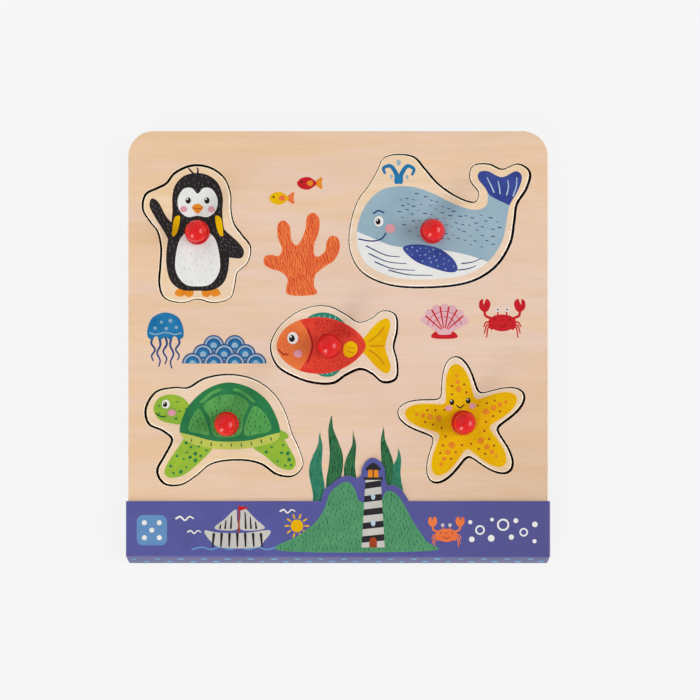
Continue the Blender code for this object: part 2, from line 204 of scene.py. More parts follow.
# Inks: a main tone and the tone it drifts to, as 0 to 255, and the width in millimetres of its patches.
INKS = {
    "mist blue": ((157, 181, 194), (143, 171, 187), 16),
    "water blue": ((40, 126, 176), (26, 104, 158), 8),
    "navy": ((62, 77, 150), (46, 60, 132), 8),
    "navy line": ((44, 62, 118), (36, 50, 104), 6),
    "dusk blue": ((54, 78, 130), (44, 66, 118), 6),
    "pale blue": ((152, 178, 200), (136, 166, 192), 6),
    "sky": ((188, 208, 220), (172, 196, 212), 6),
    "cream": ((234, 222, 205), (226, 212, 192), 8),
    "white": ((240, 238, 234), (230, 228, 222), 6),
    "pink": ((226, 163, 172), (216, 146, 158), 4),
    "soft pink": ((228, 182, 188), (217, 168, 176), 6),
    "rose": ((200, 118, 132), (188, 104, 120), 5),
    "black": ((30, 26, 28), (20, 18, 20), 6),
    "coat black": ((41, 36, 36), (31, 27, 28), 12),
    "feather grey": ((112, 106, 108), (96, 92, 94), 5),
    "amber": ((232, 146, 40), (222, 124, 34), 5),
    "yellow": ((234, 190, 0), (229, 169, 2), 14),
    "ochre": ((206, 138, 18), (198, 122, 20), 6),
    "rust": ((166, 72, 36), (150, 58, 30), 5),
    "fish red": ((226, 74, 52), (216, 54, 43), 12),
    "deep red": ((168, 28, 34), (150, 22, 30), 5),
    "red": ((206, 36, 42), (190, 26, 38), 6),
    "orange": ((236, 126, 66), (229, 108, 58), 8),
    "teal": ((50, 137, 116), (36, 120, 102), 8),
    "pale teal": ((148, 202, 186), (132, 190, 174), 5),
    "lime": ((160, 191, 54), (130, 174, 60), 12),
    "shell green": ((46, 128, 76), (38, 112, 68), 9),
    "moss": ((92, 166, 86), (76, 150, 76), 7),
    "pale lime": ((198, 206, 98), (184, 196, 84), 6),
    "leaf line": ((28, 84, 54), (24, 74, 48), 5),
    "kelp": ((36, 98, 62), (28, 86, 56), 7),
    "kelp line": ((78, 140, 92), (68, 128, 84), 5),
    "dune green": ((88, 154, 108), (77, 141, 99), 8),
    "dune line": ((38, 106, 70), (32, 94, 62), 5),
    "light grey": ((206, 203, 197), (193, 189, 182), 7),
    "dark band": ((44, 42, 46), (34, 32, 36), 6),
    "badge blue": ((104, 147, 193), (97, 139, 186), 7),
    "dash blue": ((112, 176, 214), (104, 166, 206), 5),
    "foam": ((236, 236, 232), (226, 228, 226), 7),
    "sleeve violet": ((86, 88, 154), (80, 80, 144), 14),
    # Recess floor grounds: printed in the pieces' hues, made dark as painted shade of the deep gaps round
    # the pieces.
    "floor navy": ((44, 56, 96), (36, 46, 84), 10),
    "floor black": ((44, 38, 38), (34, 30, 30), 10),
    "floor maroon": ((96, 34, 30), (80, 26, 24), 10),
    "floor green": ((38, 66, 36), (30, 54, 30), 10),
    "floor brown": ((98, 62, 22), (82, 50, 18), 10),
}

# Veneers: pale, middle and deep tones, and how far each grain is shifted from the board's.
VENEERS = {
    "board": ((234, 206, 188), (231, 200, 179), (228, 195, 169)),
    "margin": ((239, 214, 191), (235, 208, 183), (229, 200, 172)),
    # Rim tones: paler sanded wood on the rounded rims, and partly a painted highlight where those rims catch
    # the light.
    "rim": ((252, 241, 226), (249, 233, 213), (243, 222, 198)),
    "backing": ((226, 194, 160), (217, 182, 146), (203, 166, 128)),
}
STILL = (0.0, 0.0, 0.0)
BACKING_SHIFT = (0.3, 0.7, 0.0)
MARGIN_SHIFT = (0.13, 0.41, 0.0)

# A veneer's changes of tone: warmer beyond the reach of its pale heart, and darker and browner towards its
# lower right corner, partly the wood's own tone and partly painted shade where the light falls off.
VENEER_HEART = (30.0 * MM, 10.0 * MM, BOARD_HIGH.z)
HEART_REACH = 95.0 * MM
WARMTH_RISE = 2.6
UNCHANGED = (0, 0, 0)
WARMER = (2, -3, -18)
BROWNER_AND_SHADED = (-12, -15, -25)
SHADED_CORNER_SIDE = (0.5, -0.86, 0.0)
SHADED_CORNER_RANGE = (50.0 * MM, 125.0 * MM)
PORE_TONE = (190, 146, 104)

# Plywood edges: tones of the face grain, the end grain and the glue, and the height of a layer.
PLY_EDGES = {
    "sawn": ((222, 188, 150), (190, 146, 104), (128, 88, 56)),
    "burnt": ((84, 46, 28), (58, 30, 20), (34, 18, 12)),
}
PLY_LAYER = 1.1 * MM
PLY_WAVER = 0.3
PLY_FIBRE_SHADE = (196, 186, 176)

# Cards: a main tone, the tone it drifts to and, on the front panel, the deeper tone of its right end, which
# is painted shade.
VIOLET = ((77, 79, 149), (71, 71, 138))
VIOLET_SHADED_END = (66, 64, 127)
VIOLET_SHADE_FROM = 10.0 * MM
# The slanted panel is the same card as the front. Its greyer tone is painted light, for how that panel is
# lit at its slant.
STRIP_VIOLET_AS_LIT = ((84, 86, 133), (77, 78, 123))
CARD_WHITE = ((236, 233, 226), (206, 202, 194))

# Lacquer: its tones, a deeper red painted round the foot as the shade under the ball, and the heights above
# a piece's face between which that painted shade and the foot's duller gloss fade out.
LACQUER = ((225, 12, 16), (216, 9, 13))
LACQUER_FOOT_SHADE = (190, 0, 4)
FOOT_SHADE_FULL_TO = 3.2 * MM
FOOT_SHADE_GONE_AT = 7.6 * MM

# Beech: the two tones of its rings, and its flecks.
BEECH = ((214, 176, 128), (196, 154, 106))
BEECH_FLECK = (176, 128, 84)

# Textures: features per metre along X, Y and Z, then the noise's detail, roughness and distortion.
TEXTURES = {
    "veneer streaks": ((9.0, 110.0, 60.0), 5.0, 0.6, 0.8),
    "veneer bands": ((7.0, 60.0, 40.0), 4.0, 0.65, 1.0),
    "veneer fibres": ((70.0, 1500.0, 900.0), 3.0, 0.6, 0.0),
    "veneer pores": ((420.0, 3600.0, 2000.0), 1.0, 0.5, 0.0),
    "ply waver": ((60.0, 60.0, 60.0), 2.0, 0.5, 0.0),
    "ply fibres": ((420.0, 420.0, 2600.0), 4.0, 0.65, 0.0),
    "ink tooth": ((1900.0, 2300.0, 1900.0), 2.0, 0.5, 0.0),
    "ink fibres": ((60.0, 1400.0, 900.0), 3.0, 0.5, 0.0),
    "lacquer clouds": ((260.0, 260.0, 260.0), 3.0, 0.5, 0.0),
    "lacquer skin": ((700.0, 700.0, 700.0), 1.0, 0.5, 0.0),
    "lathe rings": ((60.0, 60.0, 1100.0), 2.0, 0.5, 0.0),
    "beech flecks": ((2200.0, 2200.0, 420.0), 3.0, 0.6, 0.0),
    "beech rings": ((700.0, 900.0, 30.0), 2.0, 0.5, 0.0),
    "card mottle": ((70.0, 70.0, 70.0), 4.0, 0.6, 0.0),
    "card felt": ((1300.0, 2100.0, 1700.0), 3.0, 0.7, 0.0),
}
INK_PATCHES = (5.0, 0.6, 0.4)

# The first texture's share where two are weighed together.
STREAK_SHARE = 0.6
PATCH_SHARE = 0.7
MOTTLE_SHARE = 0.65

# Where along a texture's share its tones stand.
GRAIN = (0.38, 0.5, 0.62)
WARMTH = (0.38, 0.68)
PORES = (0.7, 0.8)
LAYERS = (0.0, 0.42, 0.48, 0.52, 0.58, 1.0)
DRIFT = (0.38, 0.62)
CLOUDS = (0.35, 0.65)
FLECKS = (0.58, 0.66)
BROAD = (0.3, 0.7)
WHOLE = (0.0, 1.0)

# Masks, as tones: none, all, and the faint share of a pore.
NONE = (0, 0, 0)
ALL = (255, 255, 255)
FAINT = (70, 70, 70)

# Surfaces: roughness, gloss, strength and depth of the relief, and how much smoother and rougher they get.
Surface = namedtuple("Surface", "roughness gloss relief depth smoother rougher")
SANDED = Surface(0.5, 0.3, 0.12, 0.06 * MM, 0.06, 0.06)
SANDED_RIM = Surface(0.32, 1.0, 0.12, 0.06 * MM, 0.06, 0.06)
SAWN = Surface(0.62, 0.5, 0.35, 0.08 * MM, 0.0, 0.0)
PRINTED = Surface(0.5, 0.1, 0.06, 0.05 * MM, 0.06, 0.04)
LACQUERED = Surface(0.22, 0.32, 0.008, 0.03 * MM, 0.0, 0.28)
TURNED = Surface(0.6, 0.5, 0.3, 0.05 * MM, 0.0, 0.0)
COATED_CARD = Surface(0.46, 0.5, 0.05, 0.04 * MM, 0.05, 0.07)
BARE_CARD = Surface(0.7, 0.5, 0.15, 0.04 * MM, 0.05, 0.07)
CARD_CORE = Surface(0.75, 0.5, 0.3, 0.04 * MM, 0.05, 0.07)
STUDIO_FLOOR = Surface(0.9, 0.0, 0.0, 0.0, 0.0, 0.0)

# Small marks: length, width and gap in drawing units, lean and its spread in degrees, and spread of size.
MARKS = {
    "back dashes": (2.3, 0.5, 3.1, -14.0, 12.0, 0.3),
    "flipper dots": (0.95, 0.95, 2.5, 0.0, 40.0, 0.3),
    "coat feathers": (1.8, 0.34, 2.3, 88.0, 10.0, 0.3),
    "raised wing feathers": (1.8, 0.34, 1.9, 122.0, 8.0, 0.3),
    "lowered wing feathers": (1.8, 0.34, 1.9, 138.0, 8.0, 0.3),
    "belly feathers": (1.5, 0.34, 2.9, 90.0, 14.0, 0.3),
    "back scales": (0.62, 0.5, 1.0, 30.0, 90.0, 0.4),
    "saddle scales": (0.8, 0.55, 0.9, 30.0, 90.0, 0.4),
    "face scales": (0.55, 0.45, 1.7, 30.0, 90.0, 0.4),
    "head spots": (1.5, 1.3, 3.6, 0.0, 60.0, 0.3),
    "leg spots": (1.9, 1.7, 3.3, 0.0, 60.0, 0.35),
    "plate lines": (1.7, 0.4, 2.2, 84.0, 10.0, 0.3),
    "rim ticks": (2.6, 0.62, 5.2, 90.0, 4.0, 0.1),
    "skin grains": (0.5, 0.42, 1.35, 0.0, 90.0, 0.4),
    "coral strokes": (2.3, 0.36, 1.25, 98.0, 10.0, 0.3),
    "kelp veins": (5.0, 0.24, 1.0, 90.0, 3.0, 0.3),
    "floor stitches": (2.0, 0.5, 3.4, 0.0, 1.0, 0.1),
    "floor ticks": (1.5, 0.34, 8.5, 90.0, 6.0, 0.1),
    "dune grass": (2.0, 0.38, 1.8, 84.0, 14.0, 0.3),
    "strip dashes": (3.4, 1.7, DASH_SPACING / MM, 0.0, 0.0, 0.2),
}

# Camera: straight above, with the photograph's 700 pixels across this much of the board's face.
VIEW_WIDTH = 375.2 * MM
VIEW_CENTRE = (6.4 * MM, -0.67 * MM)
CAMERA_HEIGHT = 0.72
SENSOR = 36.0

# Studio: the pale background's level, the world's own light, and how much of the floor's tone is its glow.
BACKGROUND_LEVEL = 0.93
WORLD_LIGHT = 0.21
FLOOR_GLOW = 0.9
SHADOW_REACH = 0.8
FLOOR_REACH = 4.0

# Lamps: the direction each shines from, its distance, width, height and radiance, and whether it glints.
LAMPS = {
    "right softbox": ((0.855, 0.0, 0.518), 3.0, 2.1, 1.75, 6.0, True),
    "lower left softbox": ((-0.54, -0.79, 0.30), 3.0, 1.2, 2.2, 8.0, True),
    "upper left cloth": ((-0.62, 0.62, 0.48), 1.6, 2.1, 2.1, 1.2, False),
}


def tone(colour):
    """A colour given as 0 to 255, as the linear values that a shader takes."""
    linear = []
    for value in colour:
        share = value / 255
        linear.append(share / 12.92 if share <= 0.04045 else ((share + 0.055) / 1.055) ** 2.4)
    return (*linear, 1.0)


def shifted(colour, change):
    return tuple(value + step for value, step in zip(colour, change))


# Objects.


def linked(name, data):
    made = bpy.data.objects.new(name, data)
    bpy.context.scene.collection.objects.link(made)
    return made


def evaluated_mesh(item):
    """The mesh of an object with its modifiers applied. The object is used up."""
    graph = bpy.context.evaluated_depsgraph_get()
    made = bpy.data.meshes.new_from_object(item.evaluated_get(graph), depsgraph=graph)
    bpy.data.objects.remove(item, do_unlink=True)
    return made


# Lines and outlines, as lists of (x, y).


def curve_through(knots, steps=8, closed=True):
    """Points of a smooth curve through the knots. An open one ends on its first and last knot."""
    count = len(knots)
    points = []
    for i in range(count if closed else count - 1):
        near = []
        for k in (i - 1, i, i + 1, i + 2):
            near.append(knots[k % count] if closed else knots[min(max(k, 0), count - 1)])
        for step in range(steps):
            t = step / steps
            point = []
            for before, start, end, after in zip(*near):
                linear = (end - before) * t
                square = (2 * before - 5 * start + 4 * end - after) * t * t
                cube = (3 * start - before - 3 * end + after) * t**3
                point.append(start + 0.5 * (linear + square + cube))
            points.append(tuple(point))
    if not closed:
        points.append(tuple(knots[-1]))
    return points


def grown(loop, distance):
    """A counter-clockwise loop moved outwards by the same distance all round."""
    count = len(loop)
    points = []
    for i, (x, y) in enumerate(loop):
        before, after = loop[i - 1], loop[(i + 1) % count]
        along_x, along_y = after[0] - before[0], after[1] - before[1]
        length = math.hypot(along_x, along_y)
        points.append((x + distance * along_y / length, y - distance * along_x / length))
    return points


def inside(loop, distance):
    """An outline, drawn either way round, moved inwards."""
    twice_area = sum(loop[i - 1][0] * loop[i][1] - loop[i][0] * loop[i - 1][1] for i in range(len(loop)))
    return grown(loop, -distance if twice_area > 0 else distance)


def arc(x, y, across, up=None, first=0.0, last=360.0, points=24):
    """Points along a round or oval arc, from one angle in degrees to another."""
    up = across if up is None else up
    line = []
    for i in range(points + 1):
        angle = math.radians(first + (last - first) * i / points)
        line.append((x + across * math.cos(angle), y + up * math.sin(angle)))
    return line


def oval(x, y, across, up=None):
    return arc(x, y, across, up)[:-1]


def mirrored(points):
    """The same outline on the other side of the line x = 0."""
    return [(-x, y) for x, y in reversed(points)]


def brush(knots, start, end=None):
    """The outline of a drawn line with round ends, whose width runs from one value to another."""
    end = start if end is None else end
    line = curve_through(knots, BRUSH_STEPS, closed=False)
    last = len(line) - 1
    left, right, turns, halves = [], [], [], []
    for i, (x, y) in enumerate(line):
        before, after = line[max(i - 1, 0)], line[min(i + 1, last)]
        turn = math.atan2(after[1] - before[1], after[0] - before[0])
        half = (start + (end - start) * i / last) / 2
        left.append((x - half * math.sin(turn), y + half * math.cos(turn)))
        right.append((x + half * math.sin(turn), y - half * math.cos(turn)))
        turns.append(math.degrees(turn))
        halves.append(half)
    far_cap = arc(*line[-1], halves[-1], None, turns[-1] - 90, turns[-1] + 90, CAP_STEPS)
    near_cap = arc(*line[0], halves[0], None, turns[0] + 90, turns[0] + 270, CAP_STEPS)
    return right + far_cap[1:-1] + left[::-1] + near_cap[1:-1]


def strokes(lines, start, end=None):
    return [brush(line, start, end) for line in lines]


def dots(*places):
    return [oval(*place) for place in places]


def patch(knots, first, last, inner):
    """Part of a smooth outline from one of its knots to a later one, closed along the inner knots."""
    steps = 8
    whole = curve_through(knots, steps)
    edge = [whole[k % len(whole)] for k in range(first * steps, last * steps + 1)]
    back = curve_through([edge[-1], *inner, edge[0]], steps, closed=False)
    return edge + back[1:-1]


def starfish_loop(inset=0.0):
    points = []
    for i in range(STARFISH_POINTS):
        angle = 2 * math.pi * i / STARFISH_POINTS
        wave = STARFISH_ARMS * (angle - STARFISH_TURN)
        radius = STARFISH_RADIUS + STARFISH_ARM * math.cos(wave)
        radius += STARFISH_ROUNDING * math.cos(2 * wave) - inset
        points.append((radius * math.cos(angle), radius * math.sin(angle)))
    return points


def piece_loop(name):
    """A piece's outline about its knob, in metres."""
    loop = starfish_loop() if name == "starfish" else curve_through(OUTLINES[name], OUTLINE_STEPS)
    return [(UNIT * x, UNIT * y) for x, y in loop]


def moved(loop, place):
    return [(x + place[0], y + place[1]) for x, y in loop]


def rounded_square(x, y, across, up, corner, steps):
    """A rounded square about a middle, from half its width and height, counter-clockwise."""
    points = []
    for quarter, (side_x, side_y) in enumerate(((1, 1), (-1, 1), (-1, -1), (1, -1))):
        centre = (x + side_x * (across - corner), y + side_y * (up - corner))
        points += arc(*centre, corner, None, 90 * quarter, 90 * quarter + 90, steps)
    return points


def board_loop():
    across = (BOARD_HIGH.x - BOARD_LOW.x) / 2
    up = (BOARD_HIGH.y - BOARD_LOW.y) / 2
    return rounded_square(BOARD_MIDDLE.x, BOARD_MIDDLE.y, across, up, BOARD_CORNER, CORNER_STEPS)


def knob_place(name):
    low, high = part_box(name + "_knob")
    return ((low.x + high.x) / 2, (low.y + high.y) / 2)


def recess_middle(name):
    knob = knob_place(name)
    return (knob[0] - SHIFTS[name][0], knob[1] - SHIFTS[name][1])


def recess_loop(name):
    return moved(grown(piece_loop(name), RECESS_CLEARANCE), recess_middle(name))


# Shader nodes.


def add(tree, kind, inputs=None, **settings):
    """Adds a node. Its inputs are given by name or number, each as a value or as the socket to link."""
    made = tree.nodes.new(kind)
    for key, value in settings.items():
        setattr(made, key, value)
    for key, value in (inputs or {}).items():
        if isinstance(value, bpy.types.NodeSocket):
            tree.links.new(value, made.inputs[key])
        else:
            made.inputs[key].default_value = value
    return made


def arithmetic(tree, operation, first, second):
    return add(tree, "ShaderNodeMath", {0: first, 1: second}, operation=operation).outputs[0]


def position(tree):
    """A piece's own coordinates, in metres."""
    return add(tree, "ShaderNodeTexCoord").outputs["Object"]


def coordinate(tree, axis):
    return add(tree, "ShaderNodeSeparateXYZ", {0: position(tree)}).outputs[axis]


def measure(tree, operation, *vectors):
    """A distance, a length or a dot product of vectors."""
    return add(tree, "ShaderNodeVectorMath", dict(enumerate(vectors)), operation=operation).outputs["Value"]


def noise(tree, stretch, detail, roughness, distortion, shift=STILL):
    """Cloudy noise with its own scale along each axis, in features per metre."""
    mapping = {"Vector": position(tree), "Scale": stretch, "Location": shift}
    place = add(tree, "ShaderNodeMapping", mapping).outputs["Vector"]
    values = {"Vector": place, "Scale": 1.0, "Detail": detail, "Roughness": roughness}
    values["Distortion"] = distortion
    return add(tree, "ShaderNodeTexNoise", values).outputs["Fac"]


def texture(tree, name, shift=STILL):
    return noise(tree, *TEXTURES[name], shift)


def between(tree, value, start, end, low=0.0, high=1.0, **settings):
    """Runs from low to high while a value goes from start to end."""
    values = {"Value": value, "From Min": start, "From Max": end, "To Min": low, "To Max": high}
    return add(tree, "ShaderNodeMapRange", values, **settings).outputs["Result"]


def weighed(tree, first, second, share):
    """Two textures together, the first of them with this share."""
    larger = arithmetic(tree, "MULTIPLY", first, share)
    return arithmetic(tree, "ADD", larger, arithmetic(tree, "MULTIPLY", second, 1.0 - share))


def ramp(tree, share, places, colours):
    """Colours along a share, each at its place."""
    made = add(tree, "ShaderNodeValToRGB", {"Fac": share})
    elements = made.color_ramp.elements
    while len(elements) < len(places):
        elements.new(0.5)
    for element, place, colour in zip(elements, places, colours):
        element.position = place
        element.color = tone(colour)
    return made.outputs["Color"]


def mix(tree, share, first, second, **settings):
    values = {0: share, 6: first, 7: second}
    return add(tree, "ShaderNodeMix", values, data_type="RGBA", **settings).outputs[2]


def finish(name, surface):
    """A new material with the roughness and gloss of a surface, with its tree and its shader."""
    made = bpy.data.materials.new(name)
    made.use_nodes = True
    shader = made.node_tree.nodes["Principled BSDF"]
    shader.inputs["Roughness"].default_value = surface.roughness
    shader.inputs["Specular IOR Level"].default_value = surface.gloss
    return made, made.node_tree, shader


def paint(tree, shader, colour):
    tree.links.new(colour, shader.inputs["Base Color"])


def relief(tree, shader, height, surface):
    values = {"Height": height, "Strength": surface.relief, "Distance": surface.depth}
    tree.links.new(add(tree, "ShaderNodeBump", values).outputs["Normal"], shader.inputs["Normal"])


def vary_roughness(tree, shader, share, surface, places=BROAD):
    """Makes the surface smoother where the share is low, and rougher where it is high."""
    low = surface.roughness - surface.smoother
    high = surface.roughness + surface.rougher
    tree.links.new(between(tree, share, *places, low, high), shader.inputs["Roughness"])


def veneer(name, tones, shift=STILL, surface=SANDED):
    """Sanded veneer: soft streaks, bands and fine fibres along X, warmer away from its pale heart, and
    darker towards one corner, partly as painted shade.
    """
    made, tree, shader = finish(name, surface)
    fibres = texture(tree, "veneer fibres", shift)
    share = weighed(tree, texture(tree, "veneer streaks", shift), fibres, STREAK_SHARE)

    def grain(change):
        return ramp(tree, share, GRAIN, [shifted(colour, change) for colour in VENEERS[tones]])

    place = position(tree)
    beyond = arithmetic(tree, "SUBTRACT", measure(tree, "DISTANCE", place, VENEER_HEART), HEART_REACH)
    rise = arithmetic(tree, "MULTIPLY", beyond, WARMTH_RISE)
    bands = arithmetic(tree, "ADD", texture(tree, "veneer bands", shift), rise)
    wood = mix(tree, ramp(tree, bands, WARMTH, (NONE, ALL)), grain(UNCHANGED), grain(WARMER))
    # Darker and browner towards the lower right corner: partly the wood, partly painted shade.
    brown = between(tree, measure(tree, "DOT_PRODUCT", place, SHADED_CORNER_SIDE), *SHADED_CORNER_RANGE)
    wood = mix(tree, brown, wood, grain(BROWNER_AND_SHADED))
    pores = ramp(tree, texture(tree, "veneer pores", shift), PORES, (NONE, FAINT))
    paint(tree, shader, mix(tree, pores, wood, tone(PORE_TONE)))
    relief(tree, shader, fibres, surface)
    vary_roughness(tree, shader, fibres, surface)
    return made


def ply_edge(name, low, tones):
    """The edge of plywood: layers of face grain and end grain with thin glue lines between them."""
    made, tree, shader = finish(name, SAWN)
    face, end, glue = PLY_EDGES[tones]
    waver = arithmetic(tree, "SUBTRACT", texture(tree, "ply waver"), 0.5)
    waver = arithmetic(tree, "MULTIPLY", waver, PLY_WAVER)
    layer = arithmetic(tree, "SUBTRACT", coordinate(tree, "Z"), low)
    layer = arithmetic(tree, "ADD", arithmetic(tree, "DIVIDE", layer, PLY_LAYER), waver)
    layer = arithmetic(tree, "PINGPONG", layer, 1.0)
    layers = ramp(tree, layer, LAYERS, (face, face, glue, glue, end, end))
    fibres = texture(tree, "ply fibres")
    shade = ramp(tree, fibres, BROAD, (ALL, PLY_FIBRE_SHADE))
    paint(tree, shader, mix(tree, 1.0, layers, shade, blend_type="MULTIPLY"))
    relief(tree, shader, fibres, SAWN)
    return made


def ink(name):
    """A printed ink: soft patches of two tones and a fine tooth, with the wood's fibres showing through."""
    if name in bpy.data.materials:
        return bpy.data.materials[name]
    main, drift, width = INKS[name]
    made, tree, shader = finish(name, PRINTED)
    scale = 1.0 / (MM * width)
    patches = noise(tree, (scale, scale, scale), *INK_PATCHES)
    tooth = texture(tree, "ink tooth")
    share = weighed(tree, patches, tooth, PATCH_SHARE)
    paint(tree, shader, ramp(tree, share, DRIFT, (main, drift)))
    relief(tree, shader, arithmetic(tree, "ADD", texture(tree, "ink fibres"), tooth), PRINTED)
    vary_roughness(tree, shader, tooth, PRINTED)
    return made


def lacquer():
    """Gloss red lacquer over turned wood with faint lathe rings: deep red round the foot as painted shade,
    and duller there.
    """
    made, tree, shader = finish("knob lacquer", LACQUERED)
    red = ramp(tree, texture(tree, "lacquer clouds"), CLOUDS, LACQUER)
    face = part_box("whale_piece")[1].z
    run = (face + FOOT_SHADE_FULL_TO, face + FOOT_SHADE_GONE_AT, 1.0, 0.0)
    # Painted shade: a deeper red round the foot, where the ball shades it. The same share makes the foot's
    # gloss duller.
    foot_shade_and_dullness = between(tree, coordinate(tree, "Z"), *run, interpolation_type="SMOOTHSTEP")
    paint(tree, shader, mix(tree, foot_shade_and_dullness, red, tone(LACQUER_FOOT_SHADE)))
    rings = arithmetic(tree, "ADD", texture(tree, "lathe rings"), texture(tree, "lacquer skin"))
    relief(tree, shader, rings, LACQUERED)
    vary_roughness(tree, shader, foot_shade_and_dullness, LACQUERED, WHOLE)
    return made


def beech():
    """Bare beech for the dowels: short dark flecks along the grain, which runs upright."""
    made, tree, shader = finish("bare beech", TURNED)
    flecks = texture(tree, "beech flecks")
    base = ramp(tree, texture(tree, "beech rings"), BROAD, BEECH)
    paint(tree, shader, mix(tree, ramp(tree, flecks, FLECKS, (NONE, ALL)), base, tone(BEECH_FLECK)))
    relief(tree, shader, flecks, TURNED)
    return made


def card(name, tones, surface, far=None):
    """Card with faint mottling and a felt of fibres, and perhaps a deeper tone towards its right end as
    painted shade.
    """
    made, tree, shader = finish(name, surface)
    felt = texture(tree, "card felt")
    share = weighed(tree, texture(tree, "card mottle"), felt, MOTTLE_SHARE)
    colour = ramp(tree, share, DRIFT, tones)
    if far:
        # Painted shade: darker towards the right end.
        painted_shade = between(tree, coordinate(tree, "X"), VIOLET_SHADE_FROM, SLEEVE_HIGH.x)
        colour = mix(tree, painted_shade, colour, tone(far))
    paint(tree, shader, colour)
    relief(tree, shader, felt, surface)
    vary_roughness(tree, shader, felt, surface)
    return made


# Geometry Nodes trees for what repeats.


def new_tree(name, inputs):
    """A Geometry Nodes tree with named inputs. Gives the tree, its inputs' sockets and its last node."""
    tree = bpy.data.node_groups.new(name, "GeometryNodeTree")
    for label, kind in inputs:
        tree.interface.new_socket(label, in_out="INPUT", socket_type="NodeSocket" + kind)
    tree.interface.new_socket("Geometry", in_out="OUTPUT", socket_type="NodeSocketGeometry")
    return tree, tree.nodes.new("NodeGroupInput").outputs, tree.nodes.new("NodeGroupOutput")


def about(tree, middle, spread, seed):
    """A random number for each point, within the spread on both sides of the middle."""
    low = arithmetic(tree, "SUBTRACT", middle, spread)
    high = arithmetic(tree, "ADD", middle, spread)
    values = {2: low, 3: high, "Seed": seed}
    return add(tree, "FunctionNodeRandomValue", values, data_type="FLOAT").outputs[1]


def stamp(tree, given, points, rotation, end):
    """Puts one flat mark on every point, and inks them all."""
    size = about(tree, 1.0, given["Size spread"], given["Seed"])
    values = {"Vertices": given["Sides"], "Radius": 0.5, "Depth": 1.0}
    mark = add(tree, "GeometryNodeMeshCylinder", values).outputs["Mesh"]
    length = arithmetic(tree, "MULTIPLY", given["Length"], size)
    width = arithmetic(tree, "MULTIPLY", given["Width"], size)
    scale = add(tree, "ShaderNodeCombineXYZ", {"X": length, "Y": width, "Z": given["Height"]}).outputs[0]
    values = {"Points": points, "Instance": mark, "Rotation": rotation, "Scale": scale}
    marks = add(tree, "GeometryNodeInstanceOnPoints", values).outputs["Instances"]
    real = add(tree, "GeometryNodeRealizeInstances", {"Geometry": marks}).outputs["Geometry"]
    values = {"Geometry": real, "Material": given["Ink"]}
    inked = add(tree, "GeometryNodeSetMaterial", values).outputs["Geometry"]
    tree.links.new(inked, end.inputs[0])


MARK_INPUTS = (
    ("Gap", "Float"), ("Length", "Float"), ("Width", "Float"), ("Height", "Float"),
    ("Lean", "Float"), ("Lean spread", "Float"), ("Size spread", "Float"),
    ("Sides", "Int"), ("Seed", "Int"), ("Ink", "Material"),
)


def scattered_marks():
    """Marks strewn over a flat region, no two nearer than the gap."""
    tree, given, end = new_tree("Scattered marks", (("Region", "Geometry"), *MARK_INPUTS))
    gap_area = arithmetic(tree, "MULTIPLY", given["Gap"], given["Gap"])
    values = {"Mesh": given["Region"], "Distance Min": given["Gap"], "Seed": given["Seed"]}
    values["Density Max"] = arithmetic(tree, "DIVIDE", MARKS_TRIED, gap_area)
    strewn = add(tree, "GeometryNodeDistributePointsOnFaces", values, distribute_method="POISSON")
    turn = about(tree, given["Lean"], given["Lean spread"], given["Seed"])
    rotation = add(tree, "ShaderNodeCombineXYZ", {"Z": turn}).outputs[0]
    stamp(tree, given, strewn.outputs["Points"], rotation, end)
    return tree


def marks_in_a_row():
    """Marks spaced evenly along a line and turned with it. Tilt leans them over onto a slanted panel."""
    inputs = (("Line", "Geometry"), ("Tilt", "Float"), *MARK_INPUTS)
    tree, given, end = new_tree("Marks in a row", inputs)
    curve = add(tree, "GeometryNodeMeshToCurve", {"Mesh": given["Line"]}).outputs["Curve"]
    values = {"Curve": curve, "Length": given["Gap"]}
    even = add(tree, "GeometryNodeResampleCurve", values, mode="LENGTH").outputs["Curve"]
    tangent = add(tree, "GeometryNodeInputTangent").outputs["Tangent"]
    along = add(tree, "FunctionNodeAlignRotationToVector", {"Vector": tangent}, axis="X").outputs["Rotation"]
    turn = about(tree, given["Lean"], given["Lean spread"], given["Seed"])
    lean = add(tree, "ShaderNodeCombineXYZ", {"X": given["Tilt"], "Z": turn}).outputs[0]
    values = {"Rotation": along, "Rotate By": lean}
    rotation = add(tree, "FunctionNodeRotateRotation", values, rotation_space="LOCAL").outputs["Rotation"]
    stamp(tree, given, even, rotation, end)
    return tree


def grow_marks(tree, points, edges, faces, values):
    """The mesh that a tree makes of a flat region or a line."""
    mesh = bpy.data.meshes.new("marks")
    mesh.from_pydata(points, edges, faces)
    item = linked("marks", mesh)
    modifier = item.modifiers.new("Marks", "NODES")
    modifier.node_group = tree
    for socket in tree.interface.items_tree:
        if socket.in_out == "INPUT" and socket.name in values:
            modifier[socket.identifier] = values[socket.name]
    return evaluated_mesh(item)


# Solids.


def placed(name, shape, finishes, body):
    """The object of a bmesh, which it uses up, riding on a body."""
    mesh = bpy.data.meshes.new(name)
    shape.to_mesh(mesh)
    shape.free()
    for item in finishes:
        mesh.materials.append(item)
    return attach(linked(name, mesh), body)


def rounded_profile(low, high, low_round, high_round):
    """(inset, height) up the edge of a sheet, from the rim below to the rim above."""
    profile = []
    for radius, start, towards in ((low_round, low, 1), (high_round, high, -1)):
        quarter = []
        for step in range(ROUND_STEPS + 1) if radius else (ROUND_STEPS,):
            angle = math.pi / 2 * step / ROUND_STEPS
            inset = radius * (1 - math.sin(angle))
            quarter.append((inset, start + towards * radius * (1 - math.cos(angle))))
        profile += quarter if towards > 0 else quarter[::-1]
    return profile


TOP, EDGE, UNDER, CUT, RIM, CUT_RIM = range(6)


